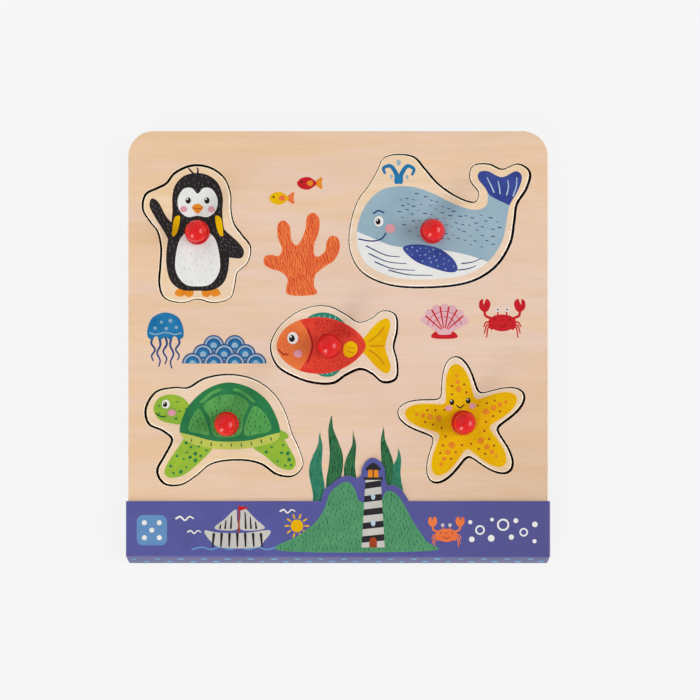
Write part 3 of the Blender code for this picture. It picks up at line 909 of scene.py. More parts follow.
def sheet(name, outer, profile, finishes, body, holes=(), hole_profile=()):
    """A flat sheet with rounded edges and holes.

    Its finishes are for the top, the edge, the underside, the walls of its holes, its rounded upper rim
    and the rims of its holes.
    """
    shape = bmesh.new()
    rims = []
    walls = [(outer, profile, -1, EDGE, RIM)] + [(hole, hole_profile, 1, CUT, CUT_RIM) for hole in holes]
    for loop, section, out, finish_index, rim_index in walls:
        rings = []
        for inset, height in section:
            ring = grown(loop, out * inset)
            rings.append([shape.verts.new((x, y, height)) for x, y in ring])
        rim_start = len(rings) - 1 - ROUND_STEPS
        for level, (lower, upper) in enumerate(zip(rings, rings[1:])):
            for i in range(len(lower)):
                corners = (lower[i - 1], lower[i], upper[i], upper[i - 1])
                face = shape.faces.new(corners if out < 0 else corners[::-1])
                face.smooth = True
                face.material_index = rim_index if level >= rim_start else finish_index
        rims.append((rings[0], rings[-1]))
    for side, finish_index in ((0, UNDER), (1, TOP)):
        corners = [corner for rim in rims for corner in rim[side]]
        for triangle in tessellate_polygon([[corner.co for corner in rim[side]] for rim in rims]):
            face = shape.faces.new([corners[i] for i in triangle])
            face.normal_update()
            if (face.normal.z > 0) != (side == 1):
                face.normal_flip()
            face.material_index = finish_index
    return placed(name, shape, finishes, body)


def turned(name, profile, sides, place, finishes, body, flutes=0):
    """A closed solid turned about an upright axis, from its lowest point on the axis to its highest."""
    shape = bmesh.new()
    rings = []
    for radius, height in profile:
        if radius == 0.0:
            rings.append([shape.verts.new((*place, height))])
            continue
        ring = []
        for i in range(sides):
            angle = 2 * math.pi * i / sides
            out = radius - (FLUTE_DEPTH * (0.5 - 0.5 * math.cos(flutes * angle)) if flutes else 0.0)
            x = place[0] + out * math.cos(angle)
            y = place[1] + out * math.sin(angle)
            ring.append(shape.verts.new((x, y, height)))
        rings.append(ring)
    for lower, upper in zip(rings, rings[1:]):
        for i in range(sides):
            corners = [lower[i - 1 if len(lower) > 1 else 0]]
            if len(lower) > 1:
                corners.append(lower[i])
            corners.append(upper[i if len(upper) > 1 else 0])
            if len(upper) > 1:
                corners.append(upper[i - 1])
            shape.faces.new(corners).smooth = True
    bmesh.ops.recalc_face_normals(shape, faces=shape.faces)
    made = placed(name, shape, finishes, body)
    made.data.set_sharp_from_angle(angle=SHARP_ANGLE)
    return made


def knob_profile(low):
    """The knob's half section: blind hole, rounded foot, neck and ball."""
    neck_top = low + KNOB_FOOT_HEIGHT + KNOB_NECK_HEIGHT
    ball_start = math.degrees(math.acos(KNOB_NECK_RADIUS / KNOB_BALL_RADIUS))
    ball_centre = neck_top + math.sqrt(KNOB_BALL_RADIUS**2 - KNOB_NECK_RADIUS**2)
    hole_top = low + DOWEL_DEPTH_IN_KNOB
    hole_radius = DOWEL_RADIUS + DOWEL_PLAY
    profile = [(0.0, hole_top), (hole_radius, hole_top), (hole_radius, low)]
    rim = KNOB_FOOT_RADIUS - KNOB_FOOT_ROUNDING
    for height, first in ((low + KNOB_FOOT_ROUNDING, -90), (low + KNOB_FOOT_HEIGHT - KNOB_FOOT_ROUNDING, 0)):
        profile += arc(rim, height, KNOB_FOOT_ROUNDING, None, first, first + 90, KNOB_FOOT_STEPS)
    fillet = KNOB_NECK_HEIGHT / 2
    profile += arc(KNOB_NECK_RADIUS + fillet, neck_top - fillet, fillet, None, 270, 180, KNOB_NECK_STEPS)
    profile += arc(0.0, ball_centre, KNOB_BALL_RADIUS, None, -ball_start, KNOB_BALL_LAST, KNOB_BALL_STEPS)
    return profile + [(0.0, ball_centre + KNOB_BALL_RADIUS)]


def build_knob(name, red):
    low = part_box(name + "_piece")[1].z
    knob = turned(name + "_turned_knob", knob_profile(low), KNOB_SIDES, knob_place(name), [red], name)
    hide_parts(name + "_knob")


def build_dowel(name, wood):
    low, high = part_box(name + "_dowel")
    tip = DOWEL_RADIUS - DOWEL_CHAMFER
    profile = [(0.0, low.z), (tip, low.z), (DOWEL_RADIUS, low.z + DOWEL_CHAMFER)]
    profile += [(DOWEL_RADIUS, high.z - DOWEL_CHAMFER), (tip, high.z), (0.0, high.z)]
    place = knob_place(name)
    pin = turned(name + "_fluted_dowel", profile, 4 * DOWEL_FLUTES, place, [wood], name, DOWEL_FLUTES)
    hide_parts(name + "_dowel")


def build_piece(name, finishes):
    """A figure's panel: rounded all round, with the hole for its dowel."""
    low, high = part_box(name + "_piece")
    outer = moved(piece_loop(name), knob_place(name))
    profile = rounded_profile(low.z, high.z, PIECE_ROUNDING, PIECE_ROUNDING)
    hole = oval(*knob_place(name), DOWEL_RADIUS + DOWEL_PLAY)
    hole_profile = rounded_profile(low.z, high.z, 0.0, DOWEL_PLAY)
    panel = sheet(name + "_panel", outer, profile, finishes, name, [hole], hole_profile)
    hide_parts(name + "_piece")


def build_board(veneer_top, edge, cut, sanded_and_highlit, plain_wood):
    """The front sheet with its five recesses, and the backing sheet glued under it."""
    recesses = [recess_loop(name) for name in SHIFTS]
    profile = rounded_profile(BACKING_HIGH.z, BOARD_HIGH.z, 0.0, BOARD_ROUNDING)
    hole_profile = rounded_profile(BACKING_HIGH.z, BOARD_HIGH.z, 0.0, RECESS_ROUNDING)
    finishes = [veneer_top, edge, plain_wood, cut, veneer_top, sanded_and_highlit]
    front = sheet("front_sheet", board_loop(), profile, finishes, "board", recesses, hole_profile)
    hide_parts("frame_board")
    profile = rounded_profile(BACKING_LOW.z, BACKING_HIGH.z, BOARD_ROUNDING, 0.0)
    finishes = [plain_wood, edge, plain_wood, cut, edge, cut]
    back = sheet("backing_sheet", board_loop(), profile, finishes, "board")
    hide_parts("backing_board")


def build_sleeve(finishes):
    """One folded card: front and back panels, two sides and a slanted lower panel.

    Its finishes are for the outside, the slanted panel, the inside of each and the raw edges of each. It
    gives where the slanted panel meets the front and the back one.
    """
    side = SLEEVE_HIGH.x
    top = SLEEVE_HIGH.z
    edge = BOARD_LOW.y + SLEEVE_COVER
    back_edge = BOARD_LOW.y + SLEEVE_BACK_COVER
    back_fold = BOARD_MIDDLE.y - SLEEVE_BACK_FOLD + FOLD_TRIM
    front_fold = back_fold + SLEEVE_SLANT
    foot = BOARD_LOW.x + TAB_FROM_LEFT
    tab = [(foot + MM * x, edge + MM * y) for x, y in curve_through(TAB_LINE, TAB_STEPS, closed=False)]
    corners = [
        (-side, front_fold, top), (side, front_fold, top), (side, edge, top), (-side, edge, top),
        (-side, back_fold, 0.0), (side, back_fold, 0.0), (side, back_edge, 0.0), (-side, back_edge, 0.0),
    ]
    first = len(corners)
    right_to_left = range(first + len(tab) - 1, first - 1, -1)
    panels = [(0, 1, 2, *right_to_left, 3), (4, 5, 1, 0), (4, 7, 6, 5), (5, 6, 2, 1), (4, 0, 3, 7)]
    mesh = bpy.data.meshes.new("folded_card")
    mesh.from_pydata(corners + [(x, y, top) for x, y in tab], [], panels)
    mesh.polygons[1].material_index = 1
    item = linked("folded_card", mesh)
    for item_finish in finishes:
        mesh.materials.append(item_finish)
    folds = item.modifiers.new("Folds", "BEVEL")
    folds.width = CARD_FOLD
    folds.segments = CARD_FOLD_STEPS
    folds.limit_method = "ANGLE"
    folds.angle_limit = SHARP_ANGLE
    wall = item.modifiers.new("Card", "SOLIDIFY")
    wall.thickness = CARD
    wall.offset = -1.0
    wall.use_even_offset = True
    wall.material_offset = 2
    wall.material_offset_rim = 4
    shape = bmesh.new()
    shape.from_mesh(evaluated_mesh(item))
    for face in shape.faces:
        face.smooth = True
    sleeve = placed("folded_sleeve", shape, finishes, "sleeve")
    sleeve.data.set_sharp_from_angle(angle=CARD_SHARP_ANGLE)
    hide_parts("card_sleeve")
    return front_fold, back_fold


# Prints.

SCATTERED = scattered_marks()
IN_A_ROW = marks_in_a_row()


class Print:
    """Inks on one flat face. Each layer stands a little higher than the one before it."""

    def __init__(self, surface):
        self.shape = bmesh.new()
        self.inks = []
        self.surface = surface
        self.draw_at((0.0, 0.0), MM)

    def draw_at(self, place, unit):
        """Starts a motif: its origin in metres, and what one drawing unit measures."""
        self.place = place
        self.unit = unit
        self.layer = 0

    def spot(self, point):
        return (self.place[0] + self.unit * point[0], self.place[1] + self.unit * point[1])

    def ink_index(self, name):
        if name not in self.inks:
            self.inks.append(name)
        return self.inks.index(name)

    def lay(self, name, *outlines):
        """Fills closed outlines with an ink."""
        self.layer += 1
        index = self.ink_index(name)
        for number, outline in enumerate(outlines):
            low = self.surface - INK_STEP / 2
            high = self.surface + INK_STEP * (self.layer + OUTLINES_CLIMB * number / len(outlines))
            spots = [self.spot(point) for point in outline]
            lower = [self.shape.verts.new((x, y, low)) for x, y in spots]
            upper = [self.shape.verts.new((x, y, high)) for x, y in spots]
            faces = [self.shape.faces.new(upper), self.shape.faces.new(lower[::-1])]
            for i in range(len(spots)):
                faces.append(self.shape.faces.new((lower[i - 1], lower[i], upper[i], upper[i - 1])))
            bmesh.ops.recalc_face_normals(self.shape, faces=faces)
            for face in faces:
                face.material_index = index

    def take(self, name, mesh):
        index = self.ink_index(name)
        first = len(self.shape.faces)
        self.shape.from_mesh(mesh)
        self.shape.faces.ensure_lookup_table()
        for face in self.shape.faces[first:]:
            face.material_index = index
            face.smooth = False

    def mark_values(self, name, marks, seed):
        """The inputs of a marks tree. Half of each mark's height stands above the face."""
        length, width, gap, lean, lean_spread, size_spread = MARKS[marks]
        self.layer += 1
        return {
            "Gap": self.unit * gap,
            "Length": self.unit * length,
            "Width": self.unit * width,
            "Height": 2 * INK_STEP * (self.layer + MARKS_ABOVE),
            "Lean": math.radians(lean),
            "Lean spread": math.radians(lean_spread),
            "Size spread": size_spread,
            "Sides": MARK_SIDES,
            "Seed": seed,
            "Ink": ink(name),
        }

    def strew(self, name, outline, marks, seed):
        """Small marks strewn over a closed outline."""
        values = self.mark_values(name, marks, seed)
        points = [(*self.spot(point), self.surface) for point in outline]
        self.take(name, grow_marks(SCATTERED, points, [], [range(len(points))], values))

    def string(self, name, line, marks, seed, closed=False):
        """Marks in a row along a line."""
        values = self.mark_values(name, marks, seed)
        points = [(*self.spot(point), self.surface) for point in line]
        edges = [(i, i + 1) for i in range(len(points) - 1)]
        if closed:
            edges.append((len(points) - 1, 0))
        self.take(name, grow_marks(IN_A_ROW, points, edges, [], values))

    def done(self, name, body):
        return placed(name, self.shape, [ink(item) for item in self.inks], body)


def round_eye(pen, x, y, across):
    """A white eye that looks left, with a dark pupil and a glint."""
    pen.lay("white", oval(x, y, across, 1.12 * across))
    pen.lay("black", oval(x - 0.18 * across, y - 0.06 * across, 0.54 * across, 0.66 * across))
    pen.lay("white", oval(x - 0.36 * across, y + 0.24 * across, 0.18 * across))


WHALE_BODY = (
    (-43.5, 0), (-42, -12), (-35, -21), (-20, -26.8), (0, -27.6), (19, -25), (32, -17.5), (40, -6),
    (42.8, 6), (44.5, 15), (49.5, 24), (51.5, 31.5), (48, 34.6), (40, 31.2), (32, 34.6), (27, 34),
    (26.6, 30), (31.5, 23), (31, 15), (24, 12.4), (12, 16), (0, 22), (-14, 26), (-29, 24), (-39, 14),
)


def print_whale(pen):
    belly = patch(WHALE_BODY, 0, 6, ((20, -13.5), (4, -10.5), (-12, -9.5), (-24, -8), (-34, -4)))
    fluke = patch(WHALE_BODY, 9, 17, ((33.5, 20.5), (38.5, 17.8)))
    flipper = curve_through((
        (-17, -9.5), (-8, -7.5), (4, -10), (12, -16), (14.5, -22), (10, -23.6), (0, -21), (-10, -17),
    ))
    back = curve_through((
        (-15, 22.6), (-2, 19.6), (12, 12.8), (24, 9), (33, 9.5), (39, 3), (36, -7), (28, -10), (14, -5),
        (-2, -4), (-13, -1), (-18, 8), (-20, 16),
    ))
    grooves = strokes((
        ((-38, -8.4), (-27, -13.6), (-19, -14.6)),
        ((-36.5, -12.8), (-26, -17.4), (-15, -18.6)),
        ((-33, -17.6), (-23, -21.4), (-10, -22.4)),
        ((-25, -22.3), (-14, -24.9), (0, -25.3)),
        ((17, -18.5), (23, -17.7), (28, -15.6)),
        ((15, -22.3), (21, -21.4), (25, -19.8)),
    ), 0.75, 0.4)
    smile = brush(((-42.4, -4.4), (-35, -5.6), (-29.5, -4.4), (-26.8, -1.2)), 0.8)
    ribs = strokes((
        ((46.5, 20.5), (48.4, 26), (48.6, 31)),
        ((42.8, 21), (43.8, 25.5), (43.4, 29.4)),
        ((39, 21.8), (38.6, 25.6), (37.8, 29)),
        ((35.5, 22.6), (33.7, 26.6), (31.5, 31)),
    ), 0.8, 0.45)
    spout = strokes((
        ((-20.5, 28.6), (-20.8, 33), (-24, 37.6), (-28, 36.6), (-27.4, 33.6)),
        ((-18.4, 28.6), (-17.8, 33), (-14.4, 37.6), (-10.6, 35.8), (-11.6, 32.8)),
    ), 3.0, 1.4)
    drops = dots((-19.4, 39.6, 1.3, 1.7), (-23.6, 31.5, 0.9, 1.3), (-14.6, 31.3, 0.9, 1.3))
    pen.lay("mist blue", curve_through(WHALE_BODY), *drops)
    pen.lay("water blue", *spout)
    pen.strew("navy line", back, "back dashes", 4)
    pen.lay("navy", fluke)
    pen.lay("foam", belly)
    pen.lay("navy line", smile, *grooves)
    pen.lay("sky", *ribs)
    pen.lay("navy", flipper)
    pen.strew("pale blue", inside(flipper, 1.5), "flipper dots", 2)
    pen.lay("pink", oval(-24.2, 1.6, 3.0, 2.6))
    pen.lay("navy line", brush(((-33.8, 10.4), (-31, 11.9), (-28.0, 10.8)), 0.75))
    round_eye(pen, -30.8, 5.8, 2.7)


def print_penguin(pen):
    body = curve_through((
        (0, -33.5), (9, -33), (15.5, -28), (18, -18), (17.5, -7), (15, 3), (14.2, 12), (14.5, 20),
        (12, 28), (6, 33), (-1, 34.2), (-8, 32.5), (-13, 27), (-14.6, 20), (-14.5, 12), (-15.5, 3),
        (-17.5, -7), (-18, -18), (-15.5, -28), (-9, -33),
    ))
    raised = curve_through((
        (-13, 3.5), (-18, 9), (-22.5, 17.3), (-26.4, 19.6), (-27.6, 15), (-24, 8), (-19, 0), (-15, -7),
        (-12, -2),
    ))
    lowered = curve_through((
        (12, 4), (18, -0.8), (23.5, -5.8), (26.6, -10.6), (25.2, -14.6), (20, -14.6), (15, -13),
        (12, -6),
    ))
    foot = curve_through((
        (3.4, -32), (10.5, -32), (13.2, -35.4), (9.6, -37), (7.6, -36), (5.6, -37.2), (3, -36.4),
        (2.4, -34.4),
    ))
    belly = curve_through((
        (0, -31), (7.5, -29.6), (12.6, -22), (12.2, -11), (8.8, -2), (0, 2), (-8.8, -2), (-12.2, -11),
        (-12.6, -22), (-7.5, -29.6),
    ))
    face = curve_through((
        (0, 9.6), (6, 9), (10.6, 13), (11.4, 19.4), (8.2, 25), (3.4, 25.6), (0, 22.4), (-3.4, 25.6),
        (-8.2, 25), (-11.4, 19.4), (-10.6, 13), (-6, 9),
    ))
    blaze = curve_through(((10.2, 9.4), (13.2, 8.6), (14.4, 3.4), (14.6, -2), (12.4, -1), (10.8, 3.6)))
    tufts = strokes((((-2, 33.4), (-4.4, 36), (-5.2, 37)), ((0, 33.6), (0.2, 36.2), (-0.4, 37.4))), 1.2, 0.5)
    beak = curve_through(((-3.2, 14.6), (0, 16.6), (3.2, 14.6), (1.4, 11.8), (0, 10.9), (-1.4, 11.8)))
    pen.lay("amber", foot, mirrored(foot))
    pen.lay("coat black", body)
    pen.lay("coat black", raised, lowered, *tufts)
    pen.strew("feather grey", inside(body, 1.4), "coat feathers", 3)
    pen.strew("feather grey", inside(raised, 1.3), "raised wing feathers", 5)
    pen.strew("feather grey", inside(lowered, 1.3), "lowered wing feathers", 6)
    pen.lay("foam", belly, face)
    pen.strew("light grey", inside(belly, 2.0), "belly feathers", 8)
    pen.lay("yellow", blaze, mirrored(blaze))
    pen.lay("pink", *dots((-8, 13.4, 2.1, 1.8), (8, 13.4, 2.1, 1.8)))
    pen.lay("black", *dots((-5.4, 18.4, 1.5, 1.8), (5.4, 18.4, 1.5, 1.8)))
    pen.lay("white", *dots((-5.9, 19.2, 0.5), (4.9, 19.2, 0.5)))
    pen.lay("amber", beak)
    pen.lay("rust", brush(((-2.6, 14.2), (0, 13.5), (2.6, 14.2)), 0.5))


FISH_BODY = (
    (-30.3, 0), (-26.4, -8), (-17, -14.2), (-4, -16), (8, -12.8), (16.5, -7), (21, 0), (17, 7.4),
    (8, 13.4), (-4, 16.6), (-17, 15), (-26.4, 9),
)


def print_fish(pen):
    body = curve_through(FISH_BODY)
    tail = curve_through((
        (16, 0), (21, -5.4), (27.6, -12.6), (33, -15.8), (35.4, -12), (33, -4), (32.2, 0), (33.4, 5),
        (35.2, 12.4), (33, 16), (27.4, 13.2), (21, 6),
    ))
    top_fin = curve_through((
        (-14, 13), (-11, 17.4), (-4, 19.4), (3, 17.8), (8.6, 13.6), (10, 10), (-2, 12),
    ))
    low_fin = curve_through((
        (-9, -13.4), (-4.6, -17.2), (1.6, -17.4), (6.2, -14), (7, -11.6), (-2, -12.4),
    ))
    face = patch(FISH_BODY, 10, 14, ((-12.6, -6.6), (-10.6, 0.4), (-12.4, 8)))
    side_fin = curve_through((
        (8.6, 0.6), (12.6, 2.8), (16, 0.4), (15.6, -4), (11.6, -6.6), (8.4, -4.6),
    ))
    rays = strokes((
        ((23, -2.4), (28, -6), (31.6, -10.6)),
        ((24, 0), (28.6, 0), (31, 0)),
        ((23, 2.6), (28, 6.4), (31.6, 11)),
    ), 0.7, 0.5)
    upper_combs = [((x, 14.2), (x + 0.4, 17.6 - 0.014 * (x + 3) ** 2)) for x in (-9.6, -6.4, -3.2, 0, 3.2)]
    lower_combs = [((x, -14.4), (x + 0.5, -16.2)) for x in (-4.4, -1.6, 1.2)]
    back = curve_through((
        (-7, 15.4), (7, 12.4), (15.6, 6.6), (19.6, 0), (15, -6), (7.4, -11.8), (-6, -14.6), (-8.6, -8),
        (-7.4, 0), (-8.6, 8),
    ))
    gill = ((-12.4, 9.6), (-10.2, 4), (-9.8, -1.5), (-12.4, -9.6))
    smile = ((-29.2, -2.0), (-26.6, -4.6), (-23.4, -4.6))
    creases = (((10.2, -0.6), (12.6, -1.2), (14.6, -1.0)), ((10.2, -2.6), (12.4, -3.6), (14.2, -3.6)))
    saddle = curve_through(((-6, 15.2), (7, 12.2), (15.4, 6.8), (8, 5.4), (-1, 8), (-7.4, 9)))
    pen.lay("yellow", tail)
    pen.lay("teal", top_fin, low_fin)
    pen.lay("pale teal", *strokes(upper_combs + lower_combs, 0.55))
    pen.lay("fish red", body)
    pen.strew("deep red", back, "back scales", 11)
    pen.strew("deep red", saddle, "saddle scales", 12)
    pen.lay("orange", face)
    pen.strew("fish red", inside(face, 1.6), "face scales", 13)
    pen.lay("ochre", *rays)
    pen.lay("deep red", *strokes((gill, smile), 0.7))
    pen.lay("yellow", side_fin)
    pen.lay("ochre", *strokes(creases, 0.5))
    pen.lay("pink", oval(-18, -4.4, 2.5, 2.2))
    round_eye(pen, -21, 4.6, 3.1)


TURTLE_SHELL = (
    (-27, -5), (-25.4, 4), (-20.5, 12.4), (-11.6, 20), (0, 23.8), (12, 21.4), (22, 14.6), (28, 5),
    (30.6, -5), (27, -10.4), (12, -14), (-6, -14.4), (-21, -11),
)


def print_turtle(pen):
    head = curve_through((
        (-42.3, 9), (-39.6, 3), (-33, 0.4), (-24, 0), (-20, 6), (-24, 14), (-31.6, 17), (-39, 15),
    ))
    front = curve_through((
        (-22, -6), (-28, -13.4), (-33.6, -21.6), (-36, -28), (-32.6, -31), (-25, -29.4), (-16, -22.4),
        (-8, -13), (-14, -8),
    ))
    rear = curve_through((
        (14, -12), (22, -18.6), (30, -25), (37, -26.4), (39.6, -22), (36, -14), (30, -6), (22, -6),
    ))
    tail = curve_through(((28, -3), (33.4, -4.6), (35.6, -7.4), (33, -9), (28, -9)))
    rim = patch(TURTLE_SHELL, 8, 13, ((-20, -6.6), (-6, -10), (12, -9.6), (26, -6)))
    middle = curve_through((
        (-13.4, 10.4), (-7, 15.4), (0, 17), (7.4, 15.8), (12.6, 11.4), (9.6, 4), (7, -6.4), (-7, -6.8),
        (-10, 3.6),
    ))
    left = curve_through((
        (-22, -3.6), (-20.4, 3.4), (-16.4, 8.8), (-12.8, 3.6), (-10.2, -6), (-15.4, -5.6),
    ))
    right = curve_through((
        (25.4, -3.4), (23.4, 3.6), (18, 9.6), (14.6, 9.4), (11.6, 3), (10, -6.2), (17.6, -5.8),
    ))
    upper_left = curve_through((
        (-15.6, 12.6), (-10.2, 17.8), (-4.6, 20.4), (-3.2, 19.2), (-8.4, 16.8), (-13.2, 12.6),
    ))
    upper_right = curve_through((
        (16.4, 12.6), (11.4, 17.6), (5.4, 20.4), (3.4, 19.4), (8.8, 17.4), (13.8, 13.2),
    ))
    pen.lay("lime", head, front, rear, tail)
    pen.strew("shell green", inside(head, 2.6), "head spots", 21)
    pen.strew("shell green", inside(front, 2.2), "leg spots", 22)
    pen.strew("shell green", inside(rear, 2.2), "leg spots", 23)
    pen.lay("shell green", curve_through(TURTLE_SHELL))
    pen.lay("pale lime", rim)
    pen.lay("moss", middle, left, right, upper_left, upper_right)
    for seed, plate in enumerate((middle, left, right), 24):
        pen.strew("leaf line", inside(plate, 1.3), "plate lines", seed)
    pen.string("leaf line", ((-20.5, -9.6), (-6, -12.4), (12, -12), (25.4, -8.6)), "rim ticks", 27)
    pen.lay("pink", oval(-31.8, 6.4, 2.4, 2.0))
    pen.lay("leaf line", brush(((-40.6, 6), (-38, 4.2), (-35.2, 4.4)), 0.7))
    round_eye(pen, -35.2, 11.4, 2.3)


def print_starfish(pen):
    body = starfish_loop(3.9)
    pen.lay("yellow", body)
    pen.strew("ochre", inside(body, 0.9), "skin grains", 31)
    arm_dots = []
    side_dots = []
    for arm in range(STARFISH_ARMS):
        turn = STARFISH_TURN + 2 * math.pi * arm / STARFISH_ARMS
        for distance, radius in ((14.5, 1.9), (19.4, 1.6), (23.6, 1.3), (27.2, 1.0)):
            if arm != STARFISH_FACE_ARM or distance > STARFISH_FACE_REACH:
                arm_dots.append(oval(distance * math.cos(turn), distance * math.sin(turn), radius))
        for distance, aside in ((13.0, 0.42), (17.6, 0.24), (22.0, 0.16)):
            if arm == STARFISH_FACE_ARM and distance < STARFISH_FACE_REACH:
                continue
            for angle in (turn - aside, turn + aside):
                side_dots.append(oval(distance * math.cos(angle), distance * math.sin(angle), 0.62))
    pen.lay("amber", *arm_dots)
    pen.lay("rust", *side_dots)
    pen.lay("pink", *dots((-8.4, 8.4, 1.9, 1.6), (5.2, 9.6, 1.9, 1.6)))
    smile = brush(((-3.9, 9.9), (-1.8, 8.6), (0.4, 10.3)), 0.65)
    pen.lay("black", *dots((-6.6, 11.8, 1.35, 1.65), (2.8, 12.6, 1.35, 1.65)), smile)
    pen.lay("white", *dots((-7.0, 12.5, 0.45), (2.4, 13.3, 0.45)))


def print_coral(pen):
    body = curve_through((
        (-7.5, 0), (7.5, 0), (6.6, 5), (7.4, 10.4), (12, 14.6), (17.6, 18.4), (20.4, 24.6), (19.6, 30),
        (16, 31.4), (13.4, 28.4), (12.6, 23.4), (9.2, 20.4), (6.8, 21.4), (6.8, 27), (9.2, 33.4),
        (9.4, 40.6), (6.2, 43.8), (2.8, 41.4), (2.0, 35), (-0.6, 28.6), (-3.2, 26.4), (-5.6, 29.6),
        (-6.4, 36.4), (-9.6, 39.6), (-12.8, 37.4), (-12.8, 30.6), (-10.6, 24.4), (-12.4, 20.6),
        (-16.2, 21.2), (-19.8, 20.2), (-20.2, 16.4), (-16.8, 13.8), (-11.2, 12), (-7.6, 8),
    ))
    pen.lay("orange", body)
    pen.strew("red", inside(body, 0.9), "coral strokes", 41)


def print_small_fish(pen, main, second):
    body = curve_through((
        (-6, 0), (-4, -2.6), (0, -3.4), (3.2, -1.6), (4.6, 0), (3.2, 1.8), (0, 3.4), (-4, 2.6),
    ))
    tail = curve_through(((3.4, 0), (6, -2.6), (7.6, -2.8), (7.2, 0), (7.6, 3), (6, 2.8)))
    fin = curve_through(((-0.6, 0.8), (1.8, 1.6), (2.6, 0), (1.6, -1.4), (-0.4, -0.8)))
    pen.lay(second, tail)
    pen.lay(main, body)
    pen.lay(second, fin)
    pen.lay("black", oval(-3.6, 0.7, 0.55))


def print_jellyfish(pen):
    bell = curve_through((
        (-9.6, 0), (-9.4, 5), (-6.6, 10.4), (0, 12.8), (6.6, 10.4), (9.4, 5), (9.6, 0), (7.4, -1.6),
        (4.9, 0), (2.4, -1.8), (0, -0.2), (-2.4, -1.8), (-4.9, 0), (-7.4, -1.6),
    )[::-1])
    arms = []
    hanging = ((-6.6, 13, -1.0), (-3.6, 16, 0.9), (-0.2, 14.6, 1.0), (3.4, 17, -0.9), (6.5, 12.6, 1.0))
    bends = ((0, 0), (1, -0.28), (-1, -0.55), (0.8, -0.8), (0, -1))
    for x, drop, sway in hanging:
        arms.append(brush([(x + aside * sway, along * drop) for aside, along in bends], 1.3, 0.7))
    spots = dots((-5.6, 4.4, 0.9), (-2.2, 7.6, 0.8), (2.6, 8.4, 1.0), (5.8, 4.8, 0.8), (0.4, 4.2, 0.9))
    hem = brush(((-8.4, 1.9), (-5, 1.0), (0, 2.1), (5, 1.0), (8.4, 1.9)), 0.6)
    pen.lay("dusk blue", *arms)
    pen.lay("water blue", bell)
    pen.lay("pale blue", hem, *spots)


def print_waves(pen):
    """Round waves in overlapping rows, the back row first. Only the front row stands on a straight line."""
    rings = (
        (5.6, "dusk blue"), (4.9, "pale blue"), (3.8, "dusk blue"), (3.1, "water blue"),
        (1.7, "pale blue"),
    )
    spacing = 11.3
    for count, y, dip in ((2, 9.6, 40), (3, 4.8, 40), (4, 0.0, 0)):
        for radius, name in rings:
            fans = []
            for i in range(count):
                x = (i - (count - 1) / 2) * spacing
                fans.append(arc(x, y, radius, None, -dip, 180 + dip, 24))
            pen.lay(name, *fans)


def print_scallop(pen):
    """A fan of ribs that spread from its hinge, with a wavy edge."""
    ribs, steps = 7, 4
    first, sweep = 12, 156
    centre, squash = 3.2, 0.98
    outline = [(-3.0, 0.0), (3.0, 0.0), (4.4, 1.6)]
    for i in range(steps * ribs):
        angle = math.radians(first + sweep * i / (steps * ribs))
        radius = 12.6 + 1.1 * math.sin(math.pi * (i % steps) / steps)
        outline.append((radius * math.cos(angle), centre + squash * radius * math.sin(angle)))
    outline.append((-4.4, 1.6))
    ears = curve_through((
        (-6.4, 0.4), (-6.6, -1.8), (0, -2.4), (6.6, -1.8), (6.4, 0.4), (3, 2.2), (-3, 2.2),
    ))
    lines = []
    for i in range(1, ribs):
        angle = math.radians(first + sweep * i / ribs)
        near = (2.2 * math.cos(angle), 2.0 + 1.5 * math.sin(angle))
        far = (11.9 * math.cos(angle), centre + 11.6 * math.sin(angle))
        lines.append(brush((near, far), 0.5, 0.9))
    growth = [arc(0, centre, radius, squash * radius, 14, 166, 12) for radius in (6.4, 9.4)]
    pen.lay("red", ears)
    pen.lay("soft pink", curve_through(outline, 3))
    pen.lay("rose", *strokes(growth, 0.5))
    pen.lay("red", *lines)


def print_crab(pen, main, second):
    shell = curve_through((
        (-7.4, 1.6), (-5.6, -2.2), (0, -3.8), (5.6, -2.2), (7.4, 1.6), (4.6, 4.4), (0, 5.2),
        (-4.6, 4.4),
    ))
    claw = curve_through((
        (9.4, 6.4), (12.2, 8.6), (12.2, 12.2), (10.4, 13.4), (10.0, 10.6), (8.4, 13.6), (6.4, 11.6),
        (7.0, 8.2),
    ))
    limbs = [claw, mirrored(claw)]
    for side in (-1, 1):
        for y, out, down in ((0.2, 4.4, -1.6), (-1.4, 4.0, -3.4), (-2.6, 2.8, -4.4)):
            knots = ((side * 5.6, y), (side * (5.8 + 0.6 * out), y + 0.9), (side * (5.6 + out), y + down))
            limbs.append(brush(knots, 1.1, 0.6))
        limbs.append(brush(((side * 5.6, 3.0), (side * 9.0, 4.6), (side * 9.4, 7.4)), 1.5, 1.2))
        limbs.append(brush(((side * 2.2, 4.2), (side * 2.5, 7.2)), 0.7))
    pen.lay(main, *limbs)
    pen.lay(main, shell)
    pen.lay("white", *dots((-2.5, 7.8, 1.1), (2.5, 7.8, 1.1)))
    pen.lay("black", *dots((-2.4, 7.9, 0.5), (2.6, 7.9, 0.5)))
    smile = brush(((-2.2, -0.4), (0, -1.5), (2.2, -0.4)), 0.55)
    pen.lay(second, smile, *dots((-4, 2.4, 0.55), (0, 2.4, 0.55), (4, 2.4, 0.55)))


def kelp_blade(x, top, sway, width):
    """A wavy leaf from behind the sleeve's tab to its tip. It sways more, and narrows, as it rises."""
    left, right = [], []
    for i in range(KELP_STEPS + 1):
        share = i / KELP_STEPS
        wave = math.sin(KELP_HALF_WAVES * math.pi * share + KELP_WAVE_START)
        middle = x + sway * wave * (KELP_FOOT_SWAY + KELP_ADDED_SWAY * share)
        fullness = KELP_END_WIDTH + KELP_ADDED_WIDTH * math.sin(math.pi * share)
        half = width / 2 * (1 - share**3) * fullness
        y = KELP_FOOT + (top - KELP_FOOT) * share
        left.append((middle - half, y))
        right.append((middle + half, y))
    return curve_through(right + left[-2::-1], 6)


